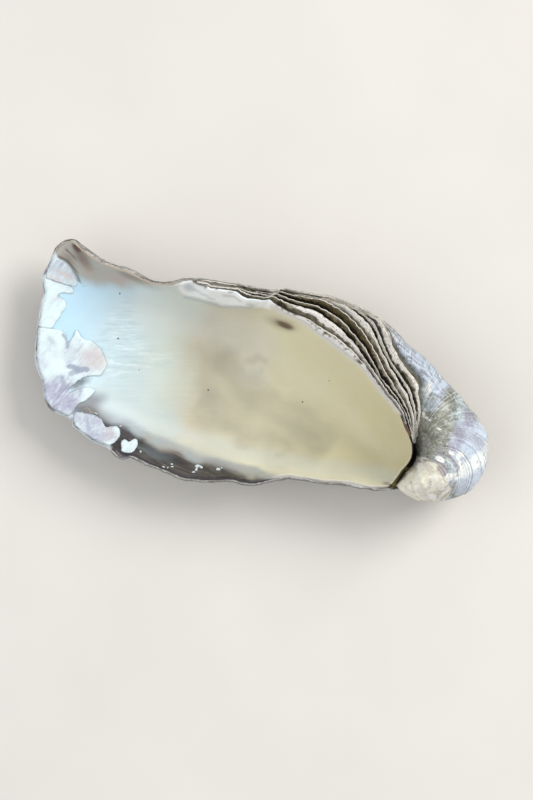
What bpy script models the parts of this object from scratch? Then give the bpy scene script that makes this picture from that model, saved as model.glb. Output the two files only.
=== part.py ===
"""Cupped valve of an oyster, lying with its hollow up.

The valve is one closed solid. It is a loft of profiles that run from the deepest point of the hollow, up
the inner wall to the rim, over the stack of growth layers or the umbo, and down round the belly to the worn
patch that the valve rests on. Stations go clockwise round the outline, seen from above, from the far corner.
Sizes are in millimetres and turned into metres when the mesh is written. +X points to the hinge.
"""

import math

import bmesh
import bpy
import numpy as np

MM = 0.001

PLAN_MIDDLE = (0.45, -4.6)

# Outline seen from above: back edge, hinge end, front edge, far edge.
OUTLINE = [
    (-56.4, 19.3), (-52.0, 17.6), (-46.4, 15.9), (-40.8, 15.9), (-35.5, 14.9), (-30.4, 15.2), (-26.0, 17.4),
    (-21.0, 18.9), (-15.5, 19.3), (-10.0, 20.2), (-4.5, 20.8), (0.5, 22.3), (5.0, 22.9), (10.0, 23.5),
    (14.5, 23.3), (19.0, 23.0), (23.0, 22.4), (26.5, 21.1), (30.0, 19.8), (33.6, 17.5), (37.5, 15.8),
    (41.5, 13.9), (45.5, 11.2), (49.5, 8.9), (53.5, 6.1), (57.5, 3.5), (60.3, 0.7), (62.0, -3.0),
    (62.6, -7.0), (62.2, -10.9), (61.0, -14.0), (59.0, -16.7), (56.2, -18.6), (52.6, -20.2), (49.0, -21.1),
    (45.4, -20.9), (42.8, -20.2), (39.6, -20.9), (35.5, -21.8), (30.0, -22.3), (24.5, -23.5), (19.0, -24.2),
    (14.0, -25.0), (9.6, -27.4), (5.0, -29.3), (0.0, -29.9), (-5.0, -31.3), (-11.0, -32.7), (-17.0, -32.3),
    (-23.0, -31.5), (-26.6, -31.1), (-29.0, -32.3), (-33.0, -30.4), (-38.0, -29.5), (-43.2, -27.7),
    (-44.2, -25.7), (-50.0, -24.8), (-52.8, -22.4), (-54.4, -18.4), (-57.2, -14.6), (-58.3, -10.4),
    (-59.4, -5.0), (-60.2, 0.5), (-60.2, 4.4), (-61.6, 7.6), (-60.9, 11.0), (-60.8, 14.4), (-59.4, 17.6),
]
STATIONS = len(OUTLINE)

# Crest between the hollow and the layers or the hinge groove, from station 6 on.
CREST_START = 6
CREST = [
    (-25.4, 15.8), (-20.8, 16.2), (-16.0, 16.3), (-11.0, 17.0), (-6.8, 16.4), (-3.0, 17.2), (1.0, 15.9),
    (5.0, 15.3), (8.6, 14.3), (12.0, 12.9), (15.5, 11.6), (19.0, 10.3), (22.3, 8.9), (25.4, 7.1),
    (28.4, 5.1), (31.2, 3.1), (33.9, 1.2), (36.3, -0.6), (38.2, -2.4), (39.8, -4.6), (41.2, -6.2),
    (42.3, -7.6), (42.9, -9.2), (43.1, -10.9), (42.7, -12.5), (42.1, -14.0), (41.6, -15.4), (41.2, -16.7),
    (40.7, -17.8), (40.2, -18.8), (39.6, -19.7), (38.2, -20.2),
]
THIN_LIP = 1.0

# Where the layers or the groove end and the rounded outer surface starts, from station 18 on.
BAND_START = 18
BAND_EDGE = [
    (29.0, 18.2), (31.0, 15.6), (33.4, 13.4), (36.6, 11.2), (39.4, 9.4), (40.8, 6.2), (41.8, 3.0),
    (42.4, -0.2), (43.0, -3.4), (43.8, -6.4), (44.4, -8.8), (44.6, -10.8), (44.2, -12.8), (43.5, -14.4),
    (42.8, -15.8), (42.2, -17.0), (41.8, -18.0), (41.7, -18.9), (42.1, -19.7),
]
LIP_ROUND = 0.35

# Inner edge of the chalky layers at the far end, from station 50 on.
CHALK_START = 50
CHALK_EDGE = [
    (-25.8, -28.2), (-28.6, -26.8), (-32.0, -24.8), (-36.6, -24.2), (-41.2, -23.4), (-43.2, -23.2),
    (-43.2, -21.5), (-41.0, -17.5), (-40.5, -13.4), (-40.0, -8.5), (-47.0, -5.2), (-52.6, -3.9),
    (-53.5, 0.5), (-53.2, 4.6), (-52.0, 7.4), (-52.6, 10.0), (-55.5, 13.0),
]
MARGIN = 4.5

# Station: height of the crest, of the end of the layers, and of the widest place.
HEIGHTS = {
    0: (15.5, 15.0, 13.4), 3: (17.5, 17.0, 15.2), 6: (19.0, 17.0, 14.5), 9: (22.0, 17.5, 14.0),
    12: (24.0, 16.5, 12.5), 16: (26.0, 15.5, 11.5), 20: (26.5, 18.0, 12.0), 24: (25.5, 20.5, 12.5),
    26: (24.2, 20.0, 13.0), 28: (22.8, 18.2, 13.0), 30: (21.6, 18.0, 13.0), 32: (20.6, 18.0, 13.0),
    34: (19.8, 17.6, 13.5), 36: (19.0, 17.4, 14.5), 38: (18.8, 18.3, 15.6), 40: (18.5, 18.0, 15.6),
    44: (17.0, 16.5, 14.6), 48: (15.5, 15.0, 13.2), 52: (13.5, 13.0, 11.4), 56: (12.0, 11.6, 10.0),
    60: (11.0, 10.6, 9.2), 64: (12.0, 11.6, 10.0), 66: (13.6, 13.2, 11.6),
}
HOLLOW_MIDDLE = (-5.0, -6.0)
HOLLOW_RADII = (26.0, 10.5)
HOLLOW_FLOOR = 3.2
FAR_FLOOR_RISE = 4.6
FAR_FLOOR_LENGTH = 60.0
# Station: how late the inner wall rises, 1 for a cone and more for a bowl.
WALL_POWER = {0: 1.6, 6: 1.8, 12: 2.1, 20: 2.2, 28: 2.4, 36: 2.4, 44: 2.2, 50: 1.9, 56: 1.5, 64: 1.4}
# Station: how round the belly is, 0 for a flare and 1 for a quarter ellipse.
BELLY_ROUND = {0: 0.2, 8: 0.45, 14: 0.7, 20: 0.8, 28: 0.95, 36: 0.9, 42: 0.8, 48: 0.8, 54: 0.5, 62: 0.1}
FLARE_POWER = 1.8

# Station: how far the outer surface arches above the line from the layers to the widest place.
ARCH_RISE = {
    0: 0.2, 17: 0.3, 20: 1.6, 24: 2.6, 26: 5.0, 28: 8.0, 30: 9.8, 32: 9.6, 34: 7.6, 35: 5.6, 36: 2.6,
    37: 0.4, 60: 0.2,
}
ARCH_SKEW = 0.82
ARCH_ROUND = 2.4

# Station: how far along the band, from crest to edge, each ledge of the stack ends.
LEDGE_PLACES = {
    5: (0.22, 0.48, 0.66, 0.78, 0.86, 0.92, 0.965),
    9: (0.20, 0.46, 0.66, 0.80, 0.88, 0.93, 0.970),
    11: (0.12, 0.30, 0.55, 0.76, 0.88, 0.93, 0.970),
    13: (0.12, 0.40, 0.58, 0.78, 0.88, 0.93, 0.970),
    15: (0.14, 0.37, 0.53, 0.72, 0.87, 0.93, 0.970),
    16: (0.15, 0.31, 0.44, 0.61, 0.81, 0.92, 0.970),
    17: (0.13, 0.25, 0.37, 0.51, 0.69, 0.81, 0.950),
    18: (0.10, 0.20, 0.32, 0.47, 0.64, 0.74, 0.920),
    19: (0.07, 0.15, 0.28, 0.45, 0.57, 0.70, 0.910),
    21: (0.05, 0.11, 0.19, 0.35, 0.54, 0.66, 0.900),
    22: (0.05, 0.11, 0.18, 0.28, 0.46, 0.58, 0.850),
    24: (0.06, 0.13, 0.20, 0.31, 0.48, 0.62, 0.860),
    25: (0.08, 0.16, 0.24, 0.35, 0.52, 0.68, 0.880),
    28: (0.12, 0.25, 0.38, 0.50, 0.62, 0.75, 0.880),
}
LEDGES = 7
LEDGE_RISER = 0.008
TREAD_TILT = 0.75
TREAD_DIP = 0.3
# Drop at the lip of a ledge where the ledges have faded away.
LEAST_DROP = 0.02
# Station: share of the full height that the ledges have.
LEDGE_SHARE = {4: 0.0, 8: 0.6, 11: 1.0, 23: 1.0, 26: 0.5, 28: 0.0}
GROOVE_DEPTH = {23: 0.0, 25: 1.6, 27: 4.4, 31: 4.2, 34: 2.8, 36: 0.8, 37: 0.0}

CHALK_THICKNESS = {48: 0.0, 50: 0.5, 66: 0.7, 67: 0.0}

REST_MIDDLE = (14.0, -2.5)
REST_RADII = (18.0, 9.0)
BELLY_RADII = (40.0, 20.0)
PLAN_RADII = (60.0, 27.0)
EASING_PASSES = 60
SOFTENING_PASSES = 12
BELLY_LEDGE = 0.75

HOLLOW_RINGS = 8
# Below 1, the first rings of the hollow lie farther apart than the last.
HOLLOW_CROWDING = 0.85
# The bottom of the hollow is rounded a little past the ring that lies farthest from the rim.
BOTTOM_MARGIN = 1.02
MARGIN_RINGS = 3
# The first ring of the margin lies this far out of the last one of the hollow.
MARGIN_START = 0.02
ARCH_RINGS = 7
BELLY_RINGS = 10
REST_RINGS = 2
# Every so many rings of the belly stand proud as the edge of an old layer.
BELLY_LEDGE_EVERY = 2
# Stations between these two are cut twice as fine, for the ledges and the umbo.
FINE_STATIONS = (6, 37)

SHELL_COLOUR = (0.66, 0.64, 0.56, 1.0)
SHELL_ROUGHNESS = 0.42
SHARP_ANGLE = 40.0


def clear_scene():
    """Remove the objects that the new scene came with."""
    for thing in list(bpy.data.objects):
        bpy.data.objects.remove(thing, do_unlink=True)


def station_places():
    """Give the station numbers, whole and half, that the profiles are cut at."""
    places = []
    for station in range(STATIONS):
        places.append(float(station))
        if FINE_STATIONS[0] <= station < FINE_STATIONS[1]:
            places.append(station + 0.5)
    return np.array(places)


def spread(knots):
    """Fill in a value for every station from the few that a table gives, and soften its corners."""
    keys = sorted(knots)
    values = np.array([np.atleast_1d(knots[key]) for key in keys], dtype=float)
    keys = np.array([keys[-1] - STATIONS] + keys + [keys[0] + STATIONS], dtype=float)
    values = np.vstack([values[-1:], values, values[:1]])
    stations = np.arange(STATIONS)
    filled = np.stack([np.interp(stations, keys, column) for column in values.T], axis=1)
    return relax(filled, 1)


def sample(values, places):
    """Read a closed row of station values at places between the stations, on a smooth curve."""
    values = np.asarray(values, dtype=float)
    index = np.floor(places).astype(int)
    part = (places - index)[:, None]
    before, here, after, beyond = (values[(index + step) % STATIONS] for step in (-1, 0, 1, 2))
    slope_here = (after - before) / 2.0
    slope_after = (beyond - here) / 2.0
    return (
        here * (2 * part**3 - 3 * part**2 + 1)
        + slope_here * (part**3 - 2 * part**2 + part)
        + after * (3 * part**2 - 2 * part**3)
        + slope_after * (part**3 - part**2)
    )


def relax(values, passes):
    """Soften a closed row of values by averaging each with its neighbours."""
    for _ in range(passes):
        values = (np.roll(values, 1, 0) + 2.0 * values + np.roll(values, -1, 0)) / 4.0
    return values


def inset(points, distance):
    """Move the points of a clockwise closed outline inwards."""
    points = np.asarray(points, dtype=float)
    along = np.roll(points, -1, 0) - np.roll(points, 1, 0)
    along /= np.linalg.norm(along, axis=1)[:, None]
    inward = np.stack([along[:, 1], -along[:, 0]], axis=1)
    return points + distance * inward


def with_run(points, start, run):
    """Replace the points of an outline from one station on."""
    points = np.array(points, dtype=float)
    points[start:start + len(run)] = run
    return points


def ellipse_point(towards, middle, radii):
    """Find the points of an ellipse that lie towards the points of a clockwise outline, evenly eased."""
    angle = np.arctan2((towards[:, 1] - middle[1]) / PLAN_RADII[1], (towards[:, 0] - middle[0]) / PLAN_RADII[0])
    angle = np.unwrap(angle)
    turn = -2.0 * math.pi * np.arange(len(angle)) / len(angle)
    offset = relax((angle - turn)[:, None], EASING_PASSES)[:, 0]
    angle = turn + offset
    return np.stack([middle[0] + radii[0] * np.cos(angle), middle[1] + radii[1] * np.sin(angle)], axis=1)


def mix(first, second, share):
    """Blend two rows of points."""
    return first + (second - first) * np.asarray(share)[:, None]


def bend(start, between, end, part):
    """Blend three closed rows of points, so that the middle row rounds off the corners of the last."""
    return (1.0 - part) ** 2 * start + 2.0 * part * (1.0 - part) * between + part**2 * end


def from_rim(points, rim, values):
    """Blend values on a closed rim over the plan inside it, by mean value weights.

    Gives the blended values, and a smooth distance to the rim that has no creases towards its corners.
    """
    spokes = rim[None, :, :] - points[:, None, :]
    lengths = np.linalg.norm(spokes, axis=2)
    after = np.roll(spokes, -1, 1)
    lengths_after = np.roll(lengths, -1, 1)
    across = spokes[:, :, 1] * after[:, :, 0] - spokes[:, :, 0] * after[:, :, 1]
    along = (spokes * after).sum(axis=2)
    half_angle = (lengths * lengths_after - along) / np.where(np.abs(across) < 1e-9, 1e-9, across)
    weights = (half_angle + np.roll(half_angle, 1, 1)) / lengths
    total = weights.sum(axis=1)
    return (weights @ values) / total[:, None], 2.0 / total


def hollow_height(plan, guide, deepest):
    """Work out the height of the inner surface at places of the plan."""
    rim_values = np.stack([guide["crest_height"], guide["wall_power"]], axis=1)
    values, distance = from_rim(plan, guide["crest"], rim_values)
    far = np.clip((HOLLOW_MIDDLE[0] - plan[:, 0]) / FAR_FLOOR_LENGTH, 0.0, 1.0)
    floor = HOLLOW_FLOOR + FAR_FLOOR_RISE * far**2 * (3.0 - 2.0 * far)
    share = np.clip(1.0 - distance / deepest, 0.0, 1.0)
    return floor + (values[:, 0] - floor) * share ** values[:, 1]


def hollow_rings(guide):
    """Make the rings of the hollow, from near its deepest point to the crest."""
    plans = []
    middle = np.array(HOLLOW_MIDDLE)[None, :]
    half_way = ellipse_point(guide["crest"], HOLLOW_MIDDLE, HOLLOW_RADII)
    count = len(guide["crest"])
    for step in range(1, HOLLOW_RINGS + 1):
        plans.append(bend(middle, half_way, guide["chalk_edge"], (step / HOLLOW_RINGS) ** HOLLOW_CROWDING))
    for step in range(MARGIN_RINGS):
        part = max(step / MARGIN_RINGS, MARGIN_START)
        plans.append(mix(guide["chalk_edge"], guide["crest"], np.full(count, part)))
    distances = [from_rim(plan, guide["crest"], guide["crest"])[1] for plan in plans]
    deepest = BOTTOM_MARGIN * max(distance.max() for distance in distances)
    rings = [(plan, hollow_height(plan, guide, deepest)) for plan in plans]
    rings = [
        (plan, height + guide["chalk"] * (row >= HOLLOW_RINGS)) for row, (plan, height) in enumerate(rings)
    ]
    rings.append((guide["crest"], guide["crest_height"] + guide["chalk"]))
    return rings


def band_rings(guide):
    """Make the rings of the band outside the crest: the stepped growth layers and the hinge groove."""
    rings = []
    crest_height = guide["crest_height"] + guide["chalk"]
    edge_height = guide["band_height"] + guide["chalk"]
    tilt = TREAD_TILT * guide["ledge_share"]
    dip = TREAD_DIP * guide["ledge_share"]
    drop = (crest_height - edge_height) / LEDGES
    for ledge in range(LEDGES):
        lip = guide["ledge_places"][:, ledge]
        straight = crest_height - (crest_height - edge_height) * lip
        stepped = crest_height - drop * ledge + tilt
        sunk = guide["groove"] * np.sin(math.pi * lip)
        high = straight + (stepped - straight) * guide["ledge_share"] - sunk
        rings.append((mix(guide["crest"], guide["band_edge"], lip - LEDGE_RISER), high))
        stepped = crest_height - drop * (ledge + 1) - dip
        low = straight + (stepped - straight) * guide["ledge_share"] - sunk - LEAST_DROP
        rings.append((mix(guide["crest"], guide["band_edge"], lip + LEDGE_RISER), low))
    rings.append((guide["band_edge"], edge_height))
    return rings


def arch_rings(guide):
    """Make the rings of the outer surface above the widest place, with the umbo at the hinge end."""
    rings = []
    top = guide["band_height"] + guide["chalk"] - guide["wide_height"]
    for step in range(1, ARCH_RINGS + 1):
        part = math.sin(0.5 * math.pi * step / ARCH_RINGS)
        arch = guide["arch"] * math.sin(math.pi * part**ARCH_SKEW)
        height = guide["wide_height"] + (top + arch) * math.sqrt(max(0.0, 1.0 - part**ARCH_ROUND))
        rings.append((mix(guide["band_edge"], guide["wide"], np.full(len(top), part)), height))
    return rings


def belly_rings(guide):
    """Make the rings of the underside, with the edges of old growth layers standing a little proud."""
    rings = []
    count = len(guide["wide_height"])
    half_way = ellipse_point(guide["wide"], REST_MIDDLE, BELLY_RADII)
    outward = guide["wide"] - guide["rest_edge"]
    outward /= np.linalg.norm(outward, axis=1)[:, None]
    for step in range(1, BELLY_RINGS + 1):
        part = math.sin(0.5 * math.pi * (1.0 - step / BELLY_RINGS))
        flare = part**FLARE_POWER
        bowl = 1.0 - math.sqrt(1.0 - part**2)
        height = guide["wide_height"] * (flare + (bowl - flare) * guide["belly_round"])
        plan = bend(guide["rest_edge"], half_way, guide["wide"], part)
        if step % BELLY_LEDGE_EVERY == 0 and step < BELLY_RINGS - 1:
            plan = plan + outward * (BELLY_LEDGE * guide["belly_round"])[:, None]
        softening = int(SOFTENING_PASSES * (1.0 - part))
        rings.append((relax(plan, softening), relax(height, softening)))
    for step in range(1, REST_RINGS + 1):
        part = np.full(count, 1.0 - step / (REST_RINGS + 1))
        rings.append((mix(np.repeat(np.array(REST_MIDDLE)[None, :], count, 0), guide["rest_edge"], part), 0.0))
    return rings


def station_guide():
    """Work out, for every profile, the places and heights that it runs through."""
    places = station_places()
    crest = with_run(inset(OUTLINE, THIN_LIP), CREST_START, CREST)
    band_edge = with_run(inset(OUTLINE, LIP_ROUND), BAND_START, BAND_EDGE)
    towards_middle = np.array(HOLLOW_MIDDLE)[None, :] - crest
    towards_middle /= np.linalg.norm(towards_middle, axis=1)[:, None]
    chalk_edge = with_run(crest + MARGIN * towards_middle, CHALK_START, CHALK_EDGE)
    heights = sample(spread(HEIGHTS), places)
    guide = {
        "crest": sample(crest, places),
        "band_edge": sample(band_edge, places),
        "wide": sample(OUTLINE, places),
        "chalk_edge": sample(chalk_edge, places),
        "crest_height": heights[:, 0],
        "band_height": heights[:, 1],
        "wide_height": heights[:, 2],
        "wall_power": sample(spread(WALL_POWER), places)[:, 0],
        "belly_round": np.clip(sample(spread(BELLY_ROUND), places)[:, 0], 0.0, 1.0),
        "arch": sample(spread(ARCH_RISE), places)[:, 0],
        "ledge_places": sample(spread(LEDGE_PLACES), places),
        "ledge_share": np.clip(sample(spread(LEDGE_SHARE), places)[:, 0], 0.0, 1.0),
        "groove": np.maximum(sample(spread(GROOVE_DEPTH), places)[:, 0], 0.0),
        "chalk": np.maximum(sample(spread(CHALK_THICKNESS), places)[:, 0], 0.0),
    }
    guide["rest_edge"] = ellipse_point(guide["wide"], REST_MIDDLE, REST_RADII)
    return guide


def build_shell():
    """Loft the rings into one closed mesh and give it its object."""
    guide = station_guide()
    rings = hollow_rings(guide) + band_rings(guide) + arch_rings(guide) + belly_rings(guide)
    count = len(guide["crest_height"])
    mesh_builder = bmesh.new()
    rows = []
    for plan, height in rings:
        heights = np.broadcast_to(height, count)
        rows.append([
            mesh_builder.verts.new((
                (plan[k, 0] - PLAN_MIDDLE[0]) * MM, (plan[k, 1] - PLAN_MIDDLE[1]) * MM, heights[k] * MM
            ))
            for k in range(count)
        ])
    deepest = mesh_builder.verts.new((
        (HOLLOW_MIDDLE[0] - PLAN_MIDDLE[0]) * MM, (HOLLOW_MIDDLE[1] - PLAN_MIDDLE[1]) * MM, HOLLOW_FLOOR * MM
    ))
    lowest = mesh_builder.verts.new((
        (REST_MIDDLE[0] - PLAN_MIDDLE[0]) * MM, (REST_MIDDLE[1] - PLAN_MIDDLE[1]) * MM, 0.0
    ))
    for k in range(count):
        after = (k + 1) % count
        mesh_builder.faces.new((deepest, rows[0][after], rows[0][k]))
        mesh_builder.faces.new((rows[-1][k], rows[-1][after], lowest))
        for inner, outer in zip(rows, rows[1:]):
            mesh_builder.faces.new((inner[k], inner[after], outer[after], outer[k]))
    bmesh.ops.triangulate(mesh_builder, faces=mesh_builder.faces[:])
    mesh = bpy.data.meshes.new("shell")
    mesh_builder.to_mesh(mesh)
    mesh_builder.free()
    mesh.shade_smooth()
    mesh.set_sharp_from_angle(angle=math.radians(SHARP_ANGLE))
    return bpy.data.objects.new("shell", mesh)


def shell_material():
    """Make the plain finish of the shell."""
    material = bpy.data.materials.new("shell_nacre")
    material.use_nodes = True
    surface = material.node_tree.nodes["Principled BSDF"]
    surface.inputs["Base Color"].default_value = SHELL_COLOUR
    surface.inputs["Roughness"].default_value = SHELL_ROUGHNESS
    surface.inputs["Metallic"].default_value = 0.0
    return material


def main():
    """Build the valve in its own collection."""
    clear_scene()
    collection = bpy.data.collections.new("oyster_shell")
    bpy.context.scene.collection.children.link(collection)
    shell = build_shell()
    shell.data.materials.append(shell_material())
    collection.objects.link(shell)


main()
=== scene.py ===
"""Looks of the cupped valve of an oyster, lying with its hollow up.

One finely cut body carries the smooth inside, the stepped back edge, the umbo and the belly. Thin growth
layers follow the steps of the back edge and the rim, chalky layers lie on the far and front margins, and
small chips sit on the dark margin. Sizes are in millimetres in the plan that PLAN_MIDDLE brings to the
origin, and turned into metres when a mesh is written. +X points to the hinge.
"""

from __future__ import annotations

import itertools
import logging
import math
from dataclasses import dataclass
from enum import Enum

import bpy
import numpy as np
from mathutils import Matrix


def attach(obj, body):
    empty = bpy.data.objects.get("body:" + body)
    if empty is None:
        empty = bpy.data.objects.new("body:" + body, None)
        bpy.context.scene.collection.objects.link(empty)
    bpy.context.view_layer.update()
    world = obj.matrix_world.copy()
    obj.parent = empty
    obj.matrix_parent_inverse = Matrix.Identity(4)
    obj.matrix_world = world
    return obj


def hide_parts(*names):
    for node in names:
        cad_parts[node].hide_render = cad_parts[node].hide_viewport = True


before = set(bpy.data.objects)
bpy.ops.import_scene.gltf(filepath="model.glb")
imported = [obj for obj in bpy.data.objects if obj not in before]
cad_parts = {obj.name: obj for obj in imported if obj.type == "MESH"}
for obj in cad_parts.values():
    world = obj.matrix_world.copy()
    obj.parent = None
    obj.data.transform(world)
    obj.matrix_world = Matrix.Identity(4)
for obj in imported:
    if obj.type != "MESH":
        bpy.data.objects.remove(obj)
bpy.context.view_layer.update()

LOG = logging.getLogger("oyster_valve")
MM = 0.001
PER_METRE = 1000.0
# How strong each finer size of lumps is against the one before.
FINER_SHARE = 0.55
# How far above the plan, in metres, the trees look down from.
LOOKOUT = 0.1
PLAN_MIDDLE = (0.45, -4.6)

Array = np.ndarray
Colour = tuple[float, float, float]
Thing = bpy.types.Object

# Tint of the dark slivers along the far edge, which three finishes share.
SLIVER = (0.26, 0.25, 0.28)

# Outline seen from above: back edge, hinge end, front edge, far edge.
OUTLINE = [
    (-56.4, 19.3), (-52, 17.6), (-46.4, 15.9), (-40.8, 15.9), (-35.5, 14.9), (-30.4, 15.2), (-26, 17.4),
    (-21, 18.9), (-15.5, 19.3), (-10, 20.2), (-4.5, 20.8), (0.5, 22.3), (5, 22.9), (10, 23.5),
    (14.5, 23.3), (19, 23), (23, 22.4), (26.5, 21.1), (30, 19.8), (33.6, 17.5), (37.5, 15.8),
    (41.5, 13.9), (45.5, 11.2), (49.5, 8.9), (53.5, 6.1), (57.5, 3.5), (60.3, 0.7), (62, -3),
    (62.6, -7), (62.2, -10.9), (61, -14), (59, -16.7), (56.2, -18.6), (52.6, -20.2), (49, -21.1),
    (45.4, -20.9), (42.8, -20.2), (39.6, -20.9), (35.5, -21.8), (30, -22.3), (24.5, -23.5), (19, -24.2),
    (14, -25), (9.6, -27.4), (5, -29.3), (0, -29.9), (-5, -31.3), (-11, -32.7), (-17, -32.3),
    (-23, -31.5), (-26.6, -31.1), (-29, -32.3), (-33, -30.4), (-38, -29.5), (-43.2, -27.7),
    (-44.2, -25.7), (-50, -24.8), (-52.8, -22.4), (-54.4, -18.4), (-57.2, -14.6), (-58.3, -10.4),
    (-59.4, -5), (-60.2, 0.5), (-60.2, 4.4), (-61.6, 7.6), (-60.9, 11), (-60.8, 14.4), (-59.4, 17.6),
]
STATIONS = len(OUTLINE)

# Crest between the hollow and the layers or the hinge groove, from station 6 on.
CREST_START = 6
CREST = [
    (-25.4, 15.8), (-20.8, 16.2), (-16, 16.3), (-11, 17), (-6.8, 16.4), (-3, 17.2), (1, 15.9),
    (5, 15.3), (8.6, 14.3), (12, 12.9), (15.5, 11.6), (19, 10.3), (22.3, 8.9), (25.4, 7.1),
    (28.4, 5.1), (31.2, 3.1), (33.9, 1.2), (36.3, -0.6), (38.2, -2.4), (39.8, -4.6), (41.2, -6.2),
    (42.3, -7.6), (42.9, -9.2), (43.1, -10.9), (42.7, -12.5), (42.1, -14), (41.6, -15.4), (41.2, -16.7),
    (40.7, -17.8), (40.2, -18.8), (39.6, -19.7), (38.2, -20.2),
]
THIN_LIP = 1.0

# The same crest where it is scalloped: its plan height at places along the valve.
RIM_SCALLOPS = (
    (-28.5, 14.9), (-27.2, 15.8), (-25.1, 17), (-23.7, 17.3), (-21.5, 17.1), (-19.8, 17.2), (-18.6, 16.4),
    (-17.5, 16.6), (-14.3, 17.1), (-12.7, 17.5), (-11.9, 17.3), (-10.9, 16.8), (-10.1, 16.4), (-9.1, 16.2),
    (-8, 16.6), (-6.5, 16.9), (-4.9, 17.1), (-3.7, 17.7), (-2.2, 17), (-0.2, 16.2), (1.6, 15.8),
)
SCALLOPED_STATIONS = (5.4, 12.4)

# Where the layers or the groove end and the rounded outer surface starts, from station 18 on.
BAND_START = 18
BAND_EDGE = [
    (29, 18.2), (31, 15.6), (33.4, 13.4), (36.6, 11.2), (39.4, 9.4), (40.8, 6.2), (41.8, 3),
    (42.4, -0.2), (43, -3.4), (43.8, -6.4), (44.4, -8.8), (44.6, -10.8), (44.2, -12.8), (43.5, -14.4),
    (42.8, -15.8), (42.2, -17), (41.8, -18), (41.7, -18.9), (42.1, -19.7),
]
LIP_ROUND = 0.35

# Inner edge of the chalky margin at the far end, from station 50 on.
CHALK_START = 50
CHALK_EDGE = [
    (-25.8, -28.2), (-28.6, -26.8), (-32, -24.8), (-36.6, -24.2), (-41.2, -23.4), (-43.2, -23.2),
    (-43.2, -21.5), (-41, -17.5), (-40.5, -13.4), (-40, -8.5), (-47, -5.2), (-52.6, -3.9),
    (-53.5, 0.5), (-53.2, 4.6), (-52, 7.4), (-52.6, 10), (-55.5, 13),
]
MARGIN = 4.5

# Station: height of the crest, of the end of the layers, and of the widest place.
HEIGHTS = {
    0: (15.5, 15, 13.4), 3: (17.5, 17, 15.2), 6: (19, 17, 14.5), 9: (22, 17.5, 14),
    12: (24, 16.5, 12.5), 16: (26, 15.5, 11.5), 20: (26.5, 18, 12), 24: (25.5, 20.5, 12.5),
    26: (24.2, 20, 13), 28: (22.8, 18.2, 13), 30: (21.6, 18, 13), 32: (20.6, 18, 13),
    34: (19.8, 17.6, 13.5), 36: (19, 17.4, 14.5), 38: (18.8, 18.3, 15.6), 40: (18.5, 18, 15.6),
    44: (17, 16.5, 14.6), 48: (15.5, 15, 13.2), 52: (13.5, 13, 11.4), 56: (12, 11.6, 10),
    60: (11, 10.6, 9.2), 64: (12, 11.6, 10), 66: (13.6, 13.2, 11.6),
}
HOLLOW_MIDDLE = (-5.0, -6.0)
HOLLOW_RADII = (26.0, 10.5)
HOLLOW_FLOOR = 3.2
FAR_FLOOR_RISE = 4.6
FAR_FLOOR_LENGTH = 60.0
# Station: how late the inner wall rises, 1 for a cone and more for a bowl.
WALL_POWER = {0: 1.6, 6: 1.8, 12: 2.1, 20: 2.2, 28: 2.4, 36: 2.4, 44: 2.2, 50: 1.9, 56: 1.5, 64: 1.4}
# Station: how round the belly is, 0 for a flare and 1 for a quarter ellipse.
BELLY_ROUND = {0: 0.2, 8: 0.45, 14: 0.7, 20: 0.8, 28: 0.95, 36: 0.9, 42: 0.8, 48: 0.8, 54: 0.5, 62: 0.1}
FLARE_POWER = 1.8

# Station: how far the outer surface arches above the line from the layers to the widest place.
ARCH_RISE = {
    0: 0.2, 17: 0.3, 20: 1.6, 24: 2.6, 26: 5, 28: 8, 30: 9.8, 32: 9.6, 34: 7.6, 35: 5.6, 36: 2.6,
    37: 0.4, 60: 0.2,
}
ARCH_SKEW = 0.82
ARCH_ROUND = 2.4

# Station: how far along the band, from crest to edge, each ledge of the stack ends.
LEDGE_PLACES = {
    5: (0.22, 0.48, 0.66, 0.78, 0.86, 0.92, 0.965),
    9: (0.2, 0.46, 0.66, 0.8, 0.88, 0.93, 0.97),
    11: (0.12, 0.3, 0.55, 0.76, 0.88, 0.93, 0.97),
    13: (0.12, 0.4, 0.58, 0.78, 0.88, 0.93, 0.97),
    15: (0.14, 0.37, 0.53, 0.72, 0.87, 0.93, 0.97),
    16: (0.15, 0.31, 0.44, 0.61, 0.81, 0.92, 0.97),
    17: (0.13, 0.25, 0.37, 0.51, 0.69, 0.81, 0.95),
    18: (0.1, 0.2, 0.32, 0.47, 0.64, 0.74, 0.92),
    19: (0.07, 0.15, 0.28, 0.45, 0.57, 0.7, 0.91),
    21: (0.05, 0.11, 0.19, 0.35, 0.54, 0.66, 0.9),
    22: (0.05, 0.11, 0.18, 0.28, 0.46, 0.58, 0.85),
    24: (0.06, 0.13, 0.2, 0.31, 0.48, 0.62, 0.86),
    25: (0.08, 0.16, 0.24, 0.35, 0.52, 0.68, 0.88),
    28: (0.12, 0.25, 0.38, 0.5, 0.62, 0.75, 0.88),
}
LEDGES = 7
LEDGE_RISER = 0.008
TREAD_TILT = 0.75
TREAD_DIP = 0.3
# Station: share of the full height that the ledges have.
LEDGE_SHARE = {4: 0, 8: 0.6, 11: 1, 23: 1, 26: 0.5, 28: 0}
GROOVE_DEPTH = {23: 0, 25: 1.6, 27: 4.4, 31: 4.2, 34: 2.8, 36: 0.8, 37: 0}

REST_MIDDLE = (14.0, -2.5)
REST_RADII = (18.0, 9.0)
BELLY_RADII = (40.0, 20.0)
PLAN_RADII = (60.0, 27.0)

# The growth lines round the umbo are arcs from the end of the groove to the tip of the beak.
UMBO = (46.0, -14.0)
GROOVE_END = (44.8, -10.9)
BEAK_FOOT = (53.2, -21.0)
# Station: 1 where the growth lines are such arcs and 0 where they run round the hollow.
NEAR_UMBO = {0: 0.0, 17.0: 0.0, 18.5: 1.0, 36: 1.0, 37.5: 0.0}


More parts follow.
